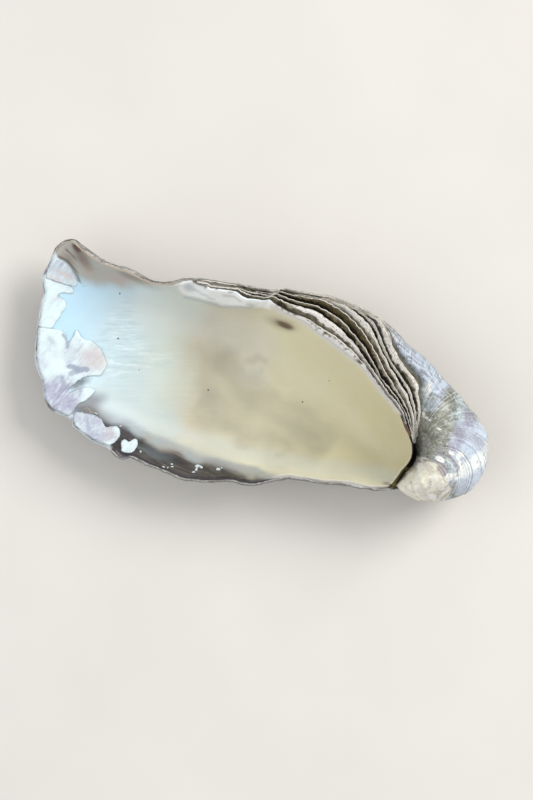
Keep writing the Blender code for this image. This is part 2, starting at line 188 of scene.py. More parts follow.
def smooth(value: Array, low: float, high: float) -> Array:
    """Rise softly from 0 at low to 1 at high.

    Args:
        value: What to read.
        low: Where the rise starts.
        high: Where it ends; it may be the smaller of the two.

    Returns:
        The risen value, between 0 and 1.
    """
    part = np.clip((value - low) / (high - low), 0, 1)
    return part * part * (3 - 2 * part)


def lattice(cells: Array, seed: int) -> Array:
    """Give each whole-number cell its own value.

    Args:
        cells: Cell numbers, three to a row.
        seed: Which set of values to give.

    Returns:
        Values between -1 and 1.
    """
    mask = 0xFFFFFFFF
    mixed = (cells[..., 0] * 73856093) ^ (cells[..., 1] * 19349663) ^ (cells[..., 2] * 83492791)
    mixed = (mixed ^ (seed * 2654435761)) & mask
    mixed = ((mixed ^ (mixed >> 13)) * 1274126177) & mask
    mixed = ((mixed ^ (mixed >> 16)) * 668265263) & mask
    mixed = mixed ^ (mixed >> 15)
    return (mixed & 0xFFFF) / 32767.5 - 1


def grain(points: Array, cell: float, seed: int, octaves: int = 1) -> Array:
    """Read smooth random values over space, the same each time.

    Args:
        points: Places, three numbers each, in millimetres.
        cell: Size of the largest lumps.
        seed: Which set of values to read.
        octaves: How many sizes of lumps are added, each half the one before.

    Returns:
        Values of about -1 to 1.
    """
    total = np.zeros(points.shape[:-1])
    for octave in range(octaves):
        scaled = points * (2**octave / cell)
        base = np.floor(scaled).astype(np.int64)
        part = scaled - base
        part = part * part * (3 - 2 * part)
        for corner in itertools.product((0, 1), repeat=3):
            weight = np.prod(np.where(np.array(corner) == 1, part, 1 - part), axis=-1)
            total += weight * lattice(base + np.array(corner), seed + octave) * FINER_SHARE**octave
    return total


def relax(values: Array, passes: int) -> Array:
    """Soften a closed row of values by averaging each with its neighbours.

    Args:
        values: The row.
        passes: How many times to average.

    Returns:
        The softened row.
    """
    for _ in range(passes):
        values = (np.roll(values, 1, 0) + 2 * values + np.roll(values, -1, 0)) / 4
    return values


def spread(knots: dict) -> Array:
    """Fill in a value for every station from the few that a table gives, and soften its corners.

    Args:
        knots: Value or tuple of values by station number.

    Returns:
        One row for each station.
    """
    keys = sorted(knots)
    values = np.array([np.atleast_1d(knots[key]) for key in keys], dtype=float)
    places = np.array([keys[-1] - STATIONS] + keys + [keys[0] + STATIONS], dtype=float)
    values = np.vstack([values[-1:], values, values[:1]])
    stations = np.arange(STATIONS)
    filled = np.stack([np.interp(stations, places, column) for column in values.T], axis=1)
    return relax(filled, 1)


def sample(values: Array, places: Array) -> Array:
    """Read a closed row of station values at places between the stations, on a smooth curve.

    Args:
        values: One row for each station.
        places: Station numbers, with their fractions.

    Returns:
        One row for each place.
    """
    values = np.asarray(values, dtype=float)
    index = np.floor(places).astype(int)
    part = (places - index)[:, None]
    before, here, after, beyond = (values[(index + step) % STATIONS] for step in (-1, 0, 1, 2))
    slope_here = (after - before) / 2
    slope_after = (beyond - here) / 2
    return (
        here * (2 * part**3 - 3 * part**2 + 1)
        + slope_here * (part**3 - 2 * part**2 + part)
        + after * (3 * part**2 - 2 * part**3)
        + slope_after * (part**3 - part**2)
    )


def inset(points: Array, distance: float | Array) -> Array:
    """Move the points of a clockwise closed outline inwards.

    Args:
        points: The outline.
        distance: How far in, for all or for each point.

    Returns:
        The moved outline.
    """
    points = np.asarray(points, dtype=float)
    along = np.roll(points, -1, 0) - np.roll(points, 1, 0)
    along /= np.linalg.norm(along, axis=1)[:, None]
    return points + np.reshape(distance, (-1, 1)) * np.stack([along[:, 1], -along[:, 0]], axis=1)


def with_run(points: Array, start: int, run: list) -> Array:
    """Replace the points of an outline from one station on.

    Args:
        points: The outline.
        start: First station that changes.
        run: The new points.

    Returns:
        The changed outline.
    """
    points = np.array(points, dtype=float)
    points[start:start + len(run)] = run
    return points


def mix(first: Array, second: Array, share: float | Array) -> Array:
    """Blend two rows of points.

    Args:
        first: Points at share 0.
        second: Points at share 1.
        share: One share for all, or one for each point.

    Returns:
        The blended points.
    """
    return first + (second - first) * np.broadcast_to(share, len(second))[:, None]


def bend(start: Array, between: Array, end: Array, part: float) -> Array:
    """Blend three closed rows of points, so that the middle row rounds off the corners of the last.

    Args:
        start: Points at part 0.
        between: Points that the blend leans to.
        end: Points at part 1.
        part: How far along.

    Returns:
        The blended points.
    """
    return (1 - part) ** 2 * start + 2 * part * (1 - part) * between + part**2 * end


def from_rim(points: Array, rim: Array, values: Array) -> tuple[Array, Array]:
    """Blend values on a closed rim over the plan inside it, by mean value weights.

    Args:
        points: Places of the plan.
        rim: The rim's points.
        values: The rim's values, one row a point.

    Returns:
        The blended values, and a smooth distance to the rim.
    """
    spokes = rim[None, :, :] - points[:, None, :]
    lengths = np.linalg.norm(spokes, axis=2)
    after = np.roll(spokes, -1, 1)
    across = spokes[:, :, 1] * after[:, :, 0] - spokes[:, :, 0] * after[:, :, 1]
    along = (spokes * after).sum(axis=2)
    half_angle = (lengths * np.roll(lengths, -1, 1) - along) / np.where(np.abs(across) < 1e-9, 1e-9, across)
    weights = (half_angle + np.roll(half_angle, 1, 1)) / lengths
    total = weights.sum(axis=1)
    return (weights @ values) / total[:, None], 2 / total


def to_metres(plan: Array, height: Array) -> Array:
    """Put plan places and heights into the part's own frame.

    Args:
        plan: Places of the plan, in millimetres.
        height: Their heights, in millimetres.

    Returns:
        Points in metres.
    """
    height = np.broadcast_to(height, len(plan))
    return np.column_stack([plan - np.array(PLAN_MIDDLE), height]) * MM


def write_mesh(name: str, points: Array, faces: list, edges: list | None = None) -> Thing:
    """Make a mesh object from points, in metres, and faces or edges.

    Args:
        name: Name of the object.
        points: The vertices.
        faces: Faces, as tuples of vertex numbers.
        edges: Loose edges, for a path.

    Returns:
        The object, linked to the scene.
    """
    mesh = bpy.data.meshes.new(name)
    mesh.from_pydata([tuple(point) for point in points], edges or [], faces)
    mesh.update()
    thing = bpy.data.objects.new(name, mesh)
    bpy.context.scene.collection.objects.link(thing)
    return thing


def store(mesh: bpy.types.Mesh, name: str, values: Array) -> None:
    """Keep a number or a vector for each vertex under a name.

    Args:
        mesh: The mesh to write to.
        name: Name of the attribute.
        values: One number or three for each vertex.
    """
    values = np.asarray(values, dtype=np.float32)
    vector = values.ndim == 2
    attribute = mesh.attributes.new(name, "FLOAT_VECTOR" if vector else "FLOAT", "POINT")
    attribute.data.foreach_set("vector" if vector else "value", values.ravel())


class Wiring:
    """Adds nodes to a shader or geometry tree and joins them."""

    def __init__(self, tree: bpy.types.NodeTree) -> None:
        """Take the tree to work on."""
        self.tree = tree

    def add(self, kind: str, inputs: dict | None = None, **settings: object) -> bpy.types.Node:
        """Add a node.

        Args:
            kind: The node's type name.
            inputs: Values or source sockets, by input name or number.
            settings: Properties of the node.

        Returns:
            The node.
        """
        node = self.tree.nodes.new(kind)
        for name, value in settings.items():
            setattr(node, name, value)
        return self.fill(node, inputs or {})

    def fill(self, node: bpy.types.Node, inputs: dict) -> bpy.types.Node:
        """Set or link the inputs of a node, leaving out those that are None.

        Args:
            node: The node.
            inputs: Values or source sockets, by input name or number.

        Returns:
            The node.
        """
        for key, value in inputs.items():
            if isinstance(value, bpy.types.NodeSocket):
                self.tree.links.new(value, node.inputs[key])
            elif value is not None:
                node.inputs[key].default_value = value
        return node

    def combine(self, **axes: object) -> object:
        """Make a vector of numbers given by axis and give the resulting socket."""
        return self.add("ShaderNodeCombineXYZ", axes).outputs[0]

    def math(self, operation: str, first: object, second: object = 0.0, clamp: bool = False) -> object:
        """Do sums on numbers and give the resulting socket."""
        node = self.add("ShaderNodeMath", {0: first, 1: second}, operation=operation, use_clamp=clamp)
        return node.outputs[0]

    def times(self, first: object, second: object) -> object:
        """Multiply two numbers and give the resulting socket."""
        return self.math("MULTIPLY", first, second)

    def plus(self, first: object, second: object) -> object:
        """Add two numbers and give the resulting socket."""
        return self.math("ADD", first, second)

    def centred(self, noise: object) -> object:
        """Shift a noise so that it varies around nought."""
        return self.math("SUBTRACT", noise, 0.5)

    def vector_math(self, operation: str, first: object, second: object = (0.0, 0.0, 0.0)) -> object:
        """Do sums on vectors and give the resulting socket."""
        return self.add("ShaderNodeVectorMath", {0: first, 1: second}, operation=operation).outputs[0]

    def scaled(self, vector: object, factor: object) -> object:
        """Make a vector longer or shorter and give the resulting socket."""
        return self.add("ShaderNodeVectorMath", {0: vector, "Scale": factor}, operation="SCALE").outputs[0]


class Palette(Wiring):
    """Adds the shader nodes that the finishes share."""

    def __init__(self, name: str) -> None:
        """Start a material with a plain surface shader.

        Args:
            name: Name of the material.
        """
        self.material = bpy.data.materials.new(name)
        self.material.use_nodes = True
        super().__init__(self.material.node_tree)
        self.surface = self.tree.nodes["Principled BSDF"]
        self.place = self.add("ShaderNodeTexCoord").outputs["Object"]
        self.colour: object = None

    def mask(self, name: str) -> object:
        """Read a named value of the mesh."""
        return self.add("ShaderNodeAttribute", attribute_name=name).outputs["Fac"]

    def broken(self, name: str, noise: object, amount: float = 0.9, soft: float = 0.22) -> object:
        """Read a named value of the mesh and break its soft edges up with a noise.

        Args:
            name: Name of the value.
            noise: Socket of values around 0.5.
            amount: How far the noise moves the edges.
            soft: How soft they stay.

        Returns:
            Socket of the broken share.
        """
        mask = self.mask(name)
        moved = self.plus(mask, self.times(self.centred(noise), amount))
        return self.times(self.step(moved, 0.45 - soft, 0.45 + soft), self.step(mask, 0.02, 0.25))

    def over(self, share: object, tint: object, amount: float | None = None) -> None:
        """Lay a tint over the colour by a share, or by an amount of it."""
        self.colour = self.blend(share if amount is None else self.times(share, amount), self.colour, tint)

    def coat(self, **tints: Colour) -> None:
        """Lay plain tints over the colour, one after the other, each where the mark of its name lies."""
        for name, tint in tints.items():
            self.over(self.mask(name), tint)

    def noise(self, size: float, detail: float = 3.0, rough: float = 0.55, twist: float = 0.0,
              vector: object = None) -> object:
        """Add cloudy variation.

        Args:
            size: Size of the clouds, in millimetres.
            detail: How many finer sizes are added.
            rough: How strong the finer ones are.
            twist: How far the clouds are pulled out of shape.
            vector: Places to read, or none for the object's own.

        Returns:
            Socket of values around 0.5.
        """
        inputs = {
            "Vector": vector or self.place, "Scale": PER_METRE / size, "Detail": detail, "Roughness": rough,
            "Distortion": twist,
        }
        return self.add("ShaderNodeTexNoise", inputs).outputs["Fac"]

    def stretched(self, scale: tuple[float, float, float], turn: float = 0.0) -> object:
        """Give the object's places, turned about the upright axis and then scaled."""
        turned = self.add("ShaderNodeMapping", {"Vector": self.place, "Rotation": (0, 0, math.radians(turn))})
        return self.add("ShaderNodeMapping", {"Vector": turned.outputs[0], "Scale": scale}).outputs[0]

    def step(self, value: object, low: float, high: float) -> object:
        """Rise softly from 0 at low to 1 at high."""
        inputs = {"Value": value, "From Min": low, "From Max": high}
        return self.add("ShaderNodeMapRange", inputs, interpolation_type="SMOOTHSTEP").outputs[0]

    def speck(self, x: float, y: float, radius: float) -> object:
        """Cover a small round place of the plan.

        Args:
            x: Where it is along the valve, in millimetres.
            y: Where it is across.
            radius: Its radius.

        Returns:
            Socket of the share.
        """
        middle = ((x - PLAN_MIDDLE[0]) * MM, (y - PLAN_MIDDLE[1]) * MM, 0)
        level = self.vector_math("MULTIPLY", self.place, (1, 1, 0))
        away = self.add("ShaderNodeVectorMath", {0: level, 1: middle}, operation="DISTANCE").outputs["Value"]
        return self.step(away, 1.3 * radius * MM, 0.7 * radius * MM)

    def blend(self, share: object, first: object, second: object, mode: str = "MIX") -> object:
        """Blend two colours.

        Args:
            share: Socket or value of how much of the second.
            first: The colour below.
            second: The colour on it.
            mode: The way of blending.

        Returns:
            Socket of the colour.
        """
        first, second = ((*c, 1) if isinstance(c, tuple) else c for c in (first, second))
        inputs = {0: share, 6: first, 7: second}
        return self.add("ShaderNodeMix", inputs, data_type="RGBA", blend_type=mode).outputs[2]

    def ramp(self, value: object, stops: list[tuple[float, Colour]]) -> object:
        """Turn a value into a colour.

        Args:
            value: Socket of the value.
            stops: Values and their colours.

        Returns:
            Socket of the colour.
        """
        node = self.add("ShaderNodeValToRGB", {"Fac": value})
        elements = node.color_ramp.elements
        while len(elements) < len(stops):
            elements.new(0.5)
        for element, (position, colour) in zip(elements, stops):
            element.position = position
            element.color = (*colour, 1)
        return node.outputs["Color"]

    def bump(self, *layers: tuple[object, float]) -> object:
        """Add fine relief over each other.

        Args:
            layers: Socket of each layer's height, and its depth in millimetres.

        Returns:
            Socket of the normal.
        """
        normal = None
        for height, depth in layers:
            inputs = {"Height": height, "Strength": 1, "Distance": depth * MM, "Normal": normal}
            normal = self.add("ShaderNodeBump", inputs).outputs[0]
        return normal

    def finish(self, roughness: object, normal: object = None, **others: float) -> bpy.types.Material:
        """Join the colour, roughness and relief to the surface.

        Args:
            roughness: Socket or value of the roughness.
            normal: Socket of the relief's normal.
            others: More values of the surface, with underscores for spaces in their names.

        Returns:
            The material.
        """
        others = {name.replace("_", " "): value for name, value in others.items()}
        self.fill(self.surface, {"Base Color": self.colour, "Roughness": roughness, "Normal": normal, **others})
        return self.material


class Zone(Enum):
    """The parts of the body's skin, by material."""

    INSIDE = 0
    BAND = 1
    OUTSIDE = 2


@dataclass(frozen=True)
class Spot:
    """A soft-edged oval mark on the plan, in millimetres."""

    x: float
    y: float
    length: float
    width: float
    turn: float = 0.0
    strength: float = 1.0
    edge: float = 0.5

    def cover(self, plan: Array) -> Array:
        """Say how strongly the mark covers places of the plan.

        Args:
            plan: The places.

        Returns:
            A share for each place.
        """
        angle = math.radians(self.turn)
        east = plan[..., 0] - self.x
        north = plan[..., 1] - self.y
        along = (east * math.cos(angle) + north * math.sin(angle)) / self.length
        across = (north * math.cos(angle) - east * math.sin(angle)) / self.width
        return self.strength * smooth(np.hypot(along, across), 1 + self.edge, 1 - self.edge)


@dataclass(frozen=True)
class Streak:
    """A soft-edged line on the plan, in millimetres."""

    points: tuple[tuple[float, float], ...]
    width: float
    edge: float
    strength: float = 1.0

    def cover(self, plan: Array) -> Array:
        """Say how strongly the line covers places of the plan.

        Args:
            plan: The places.

        Returns:
            A share for each place.
        """
        nearest = np.full(plan.shape[:-1], 1e9)
        for start, end in zip(self.points, self.points[1:]):
            start, end = np.array(start), np.array(end)
            along = end - start
            part = np.clip(((plan - start) @ along) / (along @ along), 0, 1)
            nearest = np.minimum(nearest, np.linalg.norm(plan - start - part[..., None] * along, axis=-1))
        return self.strength * smooth(nearest, 0.5 * self.width + self.edge, 0.5 * self.width)


@dataclass(frozen=True)
class Fringe:
    """A coloured margin beyond a line that is given as plan heights along the valve."""

    line: tuple[tuple[float, float], ...]
    side: float
    soft: float
    strength: float = 1.0
    fade: float = 2.0

    def cover(self, plan: Array) -> Array:
        """Say how strongly the margin covers places of the plan; it fades out towards both ends.

        Args:
            plan: The places.

        Returns:
            A share for each place.
        """
        along, height = zip(*self.line)
        beyond = self.side * (plan[..., 1] - np.interp(plan[..., 0], along, height))
        begin = smooth(plan[..., 0], along[0], along[0] + self.fade)
        inside = begin * smooth(plan[..., 0], along[-1], along[-1] - self.fade)
        return self.strength * smooth(beyond, -0.5 * self.soft, 0.5 * self.soft) * inside


def covered(marks: list, plan: Array) -> Array:
    """Add up marks so that they never cover more than wholly.

    Args:
        marks: Spots, streaks and fringes.
        plan: Places of the plan.

    Returns:
        How strongly each place is covered, from 0 to 1.
    """
    bare = np.ones(plan.shape[:-1])
    for mark in marks:
        bare = bare * (1 - np.clip(mark.cover(plan), 0, 1))
    return 1 - bare


@dataclass(frozen=True)
class Ring:
    """One closed row of the body's skin."""

    plan: Array
    height: Array
    zone: Zone
    share: float | Array

    def shares(self) -> Array:
        """Give how far along its zone the ring is, for each profile."""
        return np.broadcast_to(self.share, len(self.plan))


@dataclass
class ValveForm:
    """The surfaces that the body and everything on it are made from."""

    per_station: int = 8
    per_fine_station: int = 9
    fine_from: int = 6
    fine_to: int = 37
    crest_wander: float = 0.16
    outline_wander: float = 0.22
    easing: int = 1900
    softening: int = 380

    def __post_init__(self) -> None:
        """Work out the places and heights that every profile runs through."""
        counts = [
            self.per_fine_station if self.fine_from <= station < self.fine_to else self.per_station
            for station in range(STATIONS)
        ]
        self.places = np.concatenate([station + np.arange(n) / n for station, n in enumerate(counts)])
        self.count = len(self.places)
        crest = with_run(inset(OUTLINE, THIN_LIP), CREST_START, CREST)
        band_edge = with_run(inset(OUTLINE, LIP_ROUND), BAND_START, BAND_EDGE)
        towards_middle = np.array(HOLLOW_MIDDLE)[None, :] - crest
        towards_middle /= np.linalg.norm(towards_middle, axis=1)[:, None]
        chalk_edge = with_run(crest + MARGIN * towards_middle, CHALK_START, CHALK_EDGE)
        heights = sample(spread(HEIGHTS), self.places)
        self.band_edge = self.roughened(sample(band_edge, self.places), self.outline_wander, 12)
        self.crest = self.roughened(self.scalloped(sample(crest, self.places)), self.crest_wander, 11)
        self.wide = self.roughened(sample(OUTLINE, self.places), self.outline_wander, 12)
        self.chalk_edge = sample(chalk_edge, self.places)
        self.crest_height, self.band_height, self.wide_height = heights.T
        self.wall_power = self.row(WALL_POWER)
        self.belly_round = np.clip(self.row(BELLY_ROUND), 0, 1)
        self.arch = self.row(ARCH_RISE)
        self.ledge_places = sample(spread(LEDGE_PLACES), self.places)
        self.ledge_share = np.clip(self.row(LEDGE_SHARE), 0, 1)
        self.groove = np.maximum(self.row(GROOVE_DEPTH), 0)
        self.rest_edge = self.ellipse(self.wide, REST_MIDDLE, REST_RADII)

    def row(self, knots: dict) -> Array:
        """Read a table of single numbers at every profile."""
        return sample(spread(knots), self.places)[:, 0]

    def scalloped(self, crest: Array) -> Array:
        """Shape the part of the crest that is scalloped.

        Args:
            crest: The plain crest.

        Returns:
            The crest with its scallops, kept inside the edge of the band.
        """
        first, last = SCALLOPED_STATIONS
        along, height = zip(*RIM_SCALLOPS)
        share = smooth(crest[:, 0], along[0] - 1, along[0] + 0.5) * smooth(crest[:, 0], along[-1] + 1.5, along[-1])
        share = share * (self.places > first) * (self.places < last)
        wanted = np.minimum(np.interp(crest[:, 0], along, height), self.band_edge[:, 1] - 0.45)
        return np.column_stack([crest[:, 0], crest[:, 1] + (wanted - crest[:, 1]) * share])

    def roughened(self, row: Array, wander: float, seed: int) -> Array:
        """Let a row of plan places wander a little in and out, as a grown edge does."""
        return inset(row, wander * grain(np.column_stack([row, np.zeros(len(row))]), 3.2, seed, 3))

    def ellipse(self, towards: Array, middle: tuple, radii: tuple) -> Array:
        """Find the points of an ellipse that lie towards the points of a clockwise outline, evenly eased.

        Args:
            towards: The outline.
            middle: Middle of the ellipse.
            radii: Its half length and half width.

        Returns:
            Plan places.
        """
        east = (towards[:, 0] - middle[0]) / PLAN_RADII[0]
        north = (towards[:, 1] - middle[1]) / PLAN_RADII[1]
        angle = np.unwrap(np.arctan2(north, east))
        turn = -2 * math.pi * np.arange(len(angle)) / len(angle)
        angle = turn + relax((angle - turn)[:, None], self.easing)[:, 0]
        return np.stack([middle[0] + radii[0] * np.cos(angle), middle[1] + radii[1] * np.sin(angle)], axis=1)

    def hollow_height(self, plan: Array, deepest: float) -> Array:
        """Work out the height of the inner surface.

        Args:
            plan: Places of the plan.
            deepest: Smooth distance to the rim at the deepest point.

        Returns:
            Heights in millimetres.
        """
        rim_values = np.stack([self.crest_height, self.wall_power], axis=1)
        values, distance = from_rim(plan, self.crest, rim_values)
        far = np.clip((HOLLOW_MIDDLE[0] - plan[:, 0]) / FAR_FLOOR_LENGTH, 0, 1)
        floor = HOLLOW_FLOOR + FAR_FLOOR_RISE * far**2 * (3 - 2 * far)
        share = np.clip(1 - distance / deepest, 0, 1)
        return floor + (values[:, 0] - floor) * share ** values[:, 1]

    def ledge_heights(self, ledge: int, share: Array) -> tuple[Array, Array]:
        """Give the heights above and below the drop at the end of a ledge.

        Args:
            ledge: Number of the ledge, 0 at the crest.
            share: How far along the band its lip is, for each profile.

        Returns:
            The upper and the lower height, in millimetres.
        """
        fall = self.crest_height - self.band_height
        drop = fall / LEDGES
        sunk = self.groove * np.sin(math.pi * share)
        straight = self.crest_height - fall * share
        upper = self.crest_height - drop * ledge + TREAD_TILT * self.ledge_share
        lower = self.crest_height - drop * (ledge + 1) - TREAD_DIP * self.ledge_share
        return (
            straight + (upper - straight) * self.ledge_share - sunk,
            straight + (lower - straight) * self.ledge_share - sunk,
        )


@dataclass
class ValveBody:
    """The whole skin of the valve: inside, band of layers, umbo and belly."""

    form: ValveForm
    hollow_rings: int = 38
    margin_rings: int = 10
    arch_rings: int = 26
    belly_rings: int = 36
    rest_rings: int = 5
    slit: float = 0.35
    bottom_margin: float = 1.02
    crowding: float = 0.85
    arc_lines: float = 4.6
    arc_start: float = 0.3
    rim_lines: float = 0.4
    shingle_height: float = 0.7
    edge_height: float = 0.38
    lump_height: float = 0.4

    def inside(self) -> list[Ring]:
        """Make the rings from near the deepest point up to the crest.

        Returns:
            The rings.
        """
        form = self.form
        middle = np.array(HOLLOW_MIDDLE)[None, :]
        half_way = form.ellipse(form.crest, HOLLOW_MIDDLE, HOLLOW_RADII)
        plans = [
            bend(middle, half_way, form.chalk_edge, (step / self.hollow_rings) ** self.crowding)
            for step in range(1, self.hollow_rings + 1)
        ]
        plans += [
            mix(form.chalk_edge, form.crest, step / self.margin_rings) for step in range(1, self.margin_rings)
        ]
        deepest = self.bottom_margin * max(from_rim(plan, form.crest, form.crest)[1].max() for plan in plans[:6])
        rings = [
            Ring(plan, form.hollow_height(plan, deepest), Zone.INSIDE, row / len(plans))
            for row, plan in enumerate(plans)
        ]
        rings.append(Ring(form.crest, form.crest_height, Zone.INSIDE, 1))
        return rings

    def band(self) -> list[Ring]:
        """Make the rings of the stepped layers, which are a plain lip where there are none.

        Returns:
            The rings.
        """
        form = self.form
        rings = []
        for ledge in range(LEDGES):
            lip = form.ledge_places[:, ledge]
            upper, lower = form.ledge_heights(ledge, lip)
            end = form.ledge_places[:, ledge + 1] if ledge + 1 < LEDGES else np.ones(form.count)
            following = form.ledge_heights(ledge + 1, end)[0] if ledge + 1 < LEDGES else form.band_height
            for part, height in (
                (lip - LEDGE_RISER, upper),
                (lip + LEDGE_RISER, lower - self.slit * form.ledge_share),
                (lip + 0.2 * (end - lip), lower + 0.15 * (following - lower)),
                (lip + 0.6 * (end - lip), lower + 0.62 * (following - lower)),
            ):
                rings.append(Ring(mix(form.crest, form.band_edge, part), height, Zone.BAND, part))
        rings.append(Ring(form.band_edge, form.band_height, Zone.BAND, 1))
        return rings

    def outside(self) -> list[Ring]:
        """Make the rings of the outer surface, from the band over the widest place to the worn patch.

        Returns:
            The rings.
        """
        form = self.form
        rings = []
        top = form.band_height - form.wide_height
        for step in range(1, self.arch_rings + 1):
            part = math.sin(0.5 * math.pi * step / self.arch_rings)
            arch = form.arch * math.sin(math.pi * part**ARCH_SKEW)
            height = form.wide_height + (top + arch) * math.sqrt(max(0, 1 - part**ARCH_ROUND))
            rings.append(Ring(mix(form.band_edge, form.wide, part), height, Zone.OUTSIDE, part))
        half_way = form.ellipse(form.wide, REST_MIDDLE, BELLY_RADII)
        for step in range(1, self.belly_rings + 1):
            part = math.sin(0.5 * math.pi * (1 - step / self.belly_rings))
            flare = part**FLARE_POWER
            bowl = 1 - math.sqrt(1 - part**2)
            height = form.wide_height * (flare + (bowl - flare) * form.belly_round)
            softening = int(form.softening * (1 - part))
            plan = relax(bend(form.rest_edge, half_way, form.wide, part), softening)
            rings.append(Ring(plan, relax(height, softening), Zone.OUTSIDE, 2 - part))
        middle = np.repeat(np.array(REST_MIDDLE)[None, :], form.count, 0)
        for step in range(1, self.rest_rings + 1):
            part = 1 - step / (self.rest_rings + 1)
            rings.append(Ring(mix(middle, form.rest_edge, part), np.zeros(form.count), Zone.OUTSIDE, 2))
        return rings

    def growth(self, rings: list[Ring]) -> Array:
        """Number the growth lines over the whole skin.

        Args:
            rings: The skin's rings.

        Returns:
            One row of line numbers for each ring.
        """
        form = self.form
        near = form.row(NEAR_UMBO)
        rows = []
        for ring in rings:
            east = ring.plan[:, 0] - UMBO[0]
            north = ring.plan[:, 1] - UMBO[1]
            spread_out = self.rim_lines * np.hypot(np.where(east < 0, east / 2.4, east / 1.1), north)
            spread_out = spread_out + 0.25 * grain(np.column_stack([ring.plan, ring.plan[:, :1]]), 9, 22, 3)
            groove = np.array(GROOVE_END) - ring.plan
            foot = np.array(BEAK_FOOT) - ring.plan
            turn = np.arctan2(groove[:, 0] * foot[:, 1] - groove[:, 1] * foot[:, 0], (groove * foot).sum(axis=1))
            arcs = self.arc_lines / (np.abs(turn) + self.arc_start)
            below = smooth(ring.shares(), 1, 1.9)
            rows.append(spread_out + (arcs - spread_out) * np.clip(near, 0, 1) * (1 - below))
        return np.array(rows)

    def relief(self, points: Array, rings: list[Ring], growth: Array) -> tuple[Array, Array]:
        """Work out how far each place of the skin stands proud, in millimetres.

        Args:
            points: The skin's places, ring by ring.
            rings: The rings.
            growth: The growth lines' numbers.

        Returns:
            Distances outwards, and how close each place is to the foot of a step, where the outer finish paints
            shade.
        """
        flat = np.zeros(growth.shape)
        share = np.array([ring.shares() for ring in rings])
        outside = np.array([ring.zone is Zone.OUTSIDE for ring in rings])[:, None]
        band = np.array([ring.zone is Zone.BAND for ring in rings])[:, None]
        under = smooth(share, 1, 1.15) * outside
        worn = smooth(points[..., 2], 0.3, 2.5)
        at_umbo = smooth(self.form.places, 22, 26) * smooth(self.form.places, 37.5, 36.5)
        edge = outside * smooth(share, 1.25, 1) * (1 - at_umbo)
        wobble = growth + 0.05 * grain(points, 9, 22, 3)
        fine = grain(np.stack([wobble / 0.4, flat, flat], axis=-1), 1, 23, 2)
        tooth = wobble / 1.2 + 0.6 * grain(np.stack([wobble * 0.5, flat, flat], axis=-1), 1, 24)
        tooth = tooth + 0.12 * grain(points, 2.4, 28, 2)
        shingle = self.shingle_height * ((1 - tooth % 1) ** 1.5 - 0.4)
        sheet = points[..., 2] / 1.15 + 0.45 * grain(points, 8, 29, 3)
        laminae = self.edge_height * (1 - sheet % 1) ** 1.6
        lumps = self.lump_height * grain(points, 11, 25, 3)
        arch = outside * smooth(share, 0, 0.25) * (1 - 0.7 * edge)
        out = arch * (0.12 * fine + 0.13 * grain(points, 5, 26, 3)) + under * worn * (shingle + lumps)
        out = out + edge * smooth(share, 0, 0.2) * (laminae - 0.15)
        out = out + 0.05 * grain(points, 14, 21, 2) * ~outside * ~band + band * 0.08 * grain(points, 1.6, 27, 2)
        foot = under * smooth(tooth % 1, 0.72, 1) * worn + edge * smooth(sheet % 1, 0.7, 1)
        return out, np.clip(foot, 0, 1)

    def build(self) -> Thing:
        """Loft the rings into one closed mesh.

        Returns:
            The body, without its materials.
        """
        form = self.form
        rings = self.inside() + self.band() + self.outside()
        points = np.array([
            np.column_stack([ring.plan, np.broadcast_to(ring.height, form.count)]) for ring in rings
        ])
        growth = self.growth(rings)
        along = np.roll(points, -1, 1) - np.roll(points, 1, 1)
        across = np.gradient(points, axis=0)
        normal = np.cross(across, along)
        normal /= np.maximum(np.linalg.norm(normal, axis=2), 1e-9)[..., None]
        proud, foot = self.relief(points, rings, growth)
        points = points + proud[..., None] * normal
        points[..., 2] = np.maximum(points[..., 2], 0)
        flat = points.reshape(-1, 3)
        poles = np.array([(*HOLLOW_MIDDLE, HOLLOW_FLOOR), (*REST_MIDDLE, 0)])
        everything = np.vstack([flat, poles])
        vertices = to_metres(everything[:, :2], everything[:, 2])
        faces, zones = self.faces(rings)
        body = write_mesh("valve_body", vertices, faces)
        body.data.polygons.foreach_set("material_index", zones)
        body.data.shade_smooth()
        self.mark(body.data, everything, rings, {"growth": growth, "step_foot": foot})
        return body

    def faces(self, rings: list[Ring]) -> tuple[list, list]:
        """List the faces between the rings and at the two poles.

        Args:
            rings: The skin's rings.

        Returns:
            The faces, and the material number of each.
        """
        count = self.form.count
        last = (len(rings) - 1) * count
        pairs = [(k, (k + 1) % count) for k in range(count)]
        faces, zones = [], []
        for k, after in pairs:
            faces += [(last + count, after, k), (last + k, last + after, last + count + 1)]
            zones += [Zone.INSIDE.value, Zone.OUTSIDE.value]
        for row, ring in enumerate(rings[1:]):
            inner, outer = row * count, (row + 1) * count
            faces += [(inner + k, inner + after, outer + after, outer + k) for k, after in pairs]
            zones += [ring.zone.value] * count
        return faces, zones

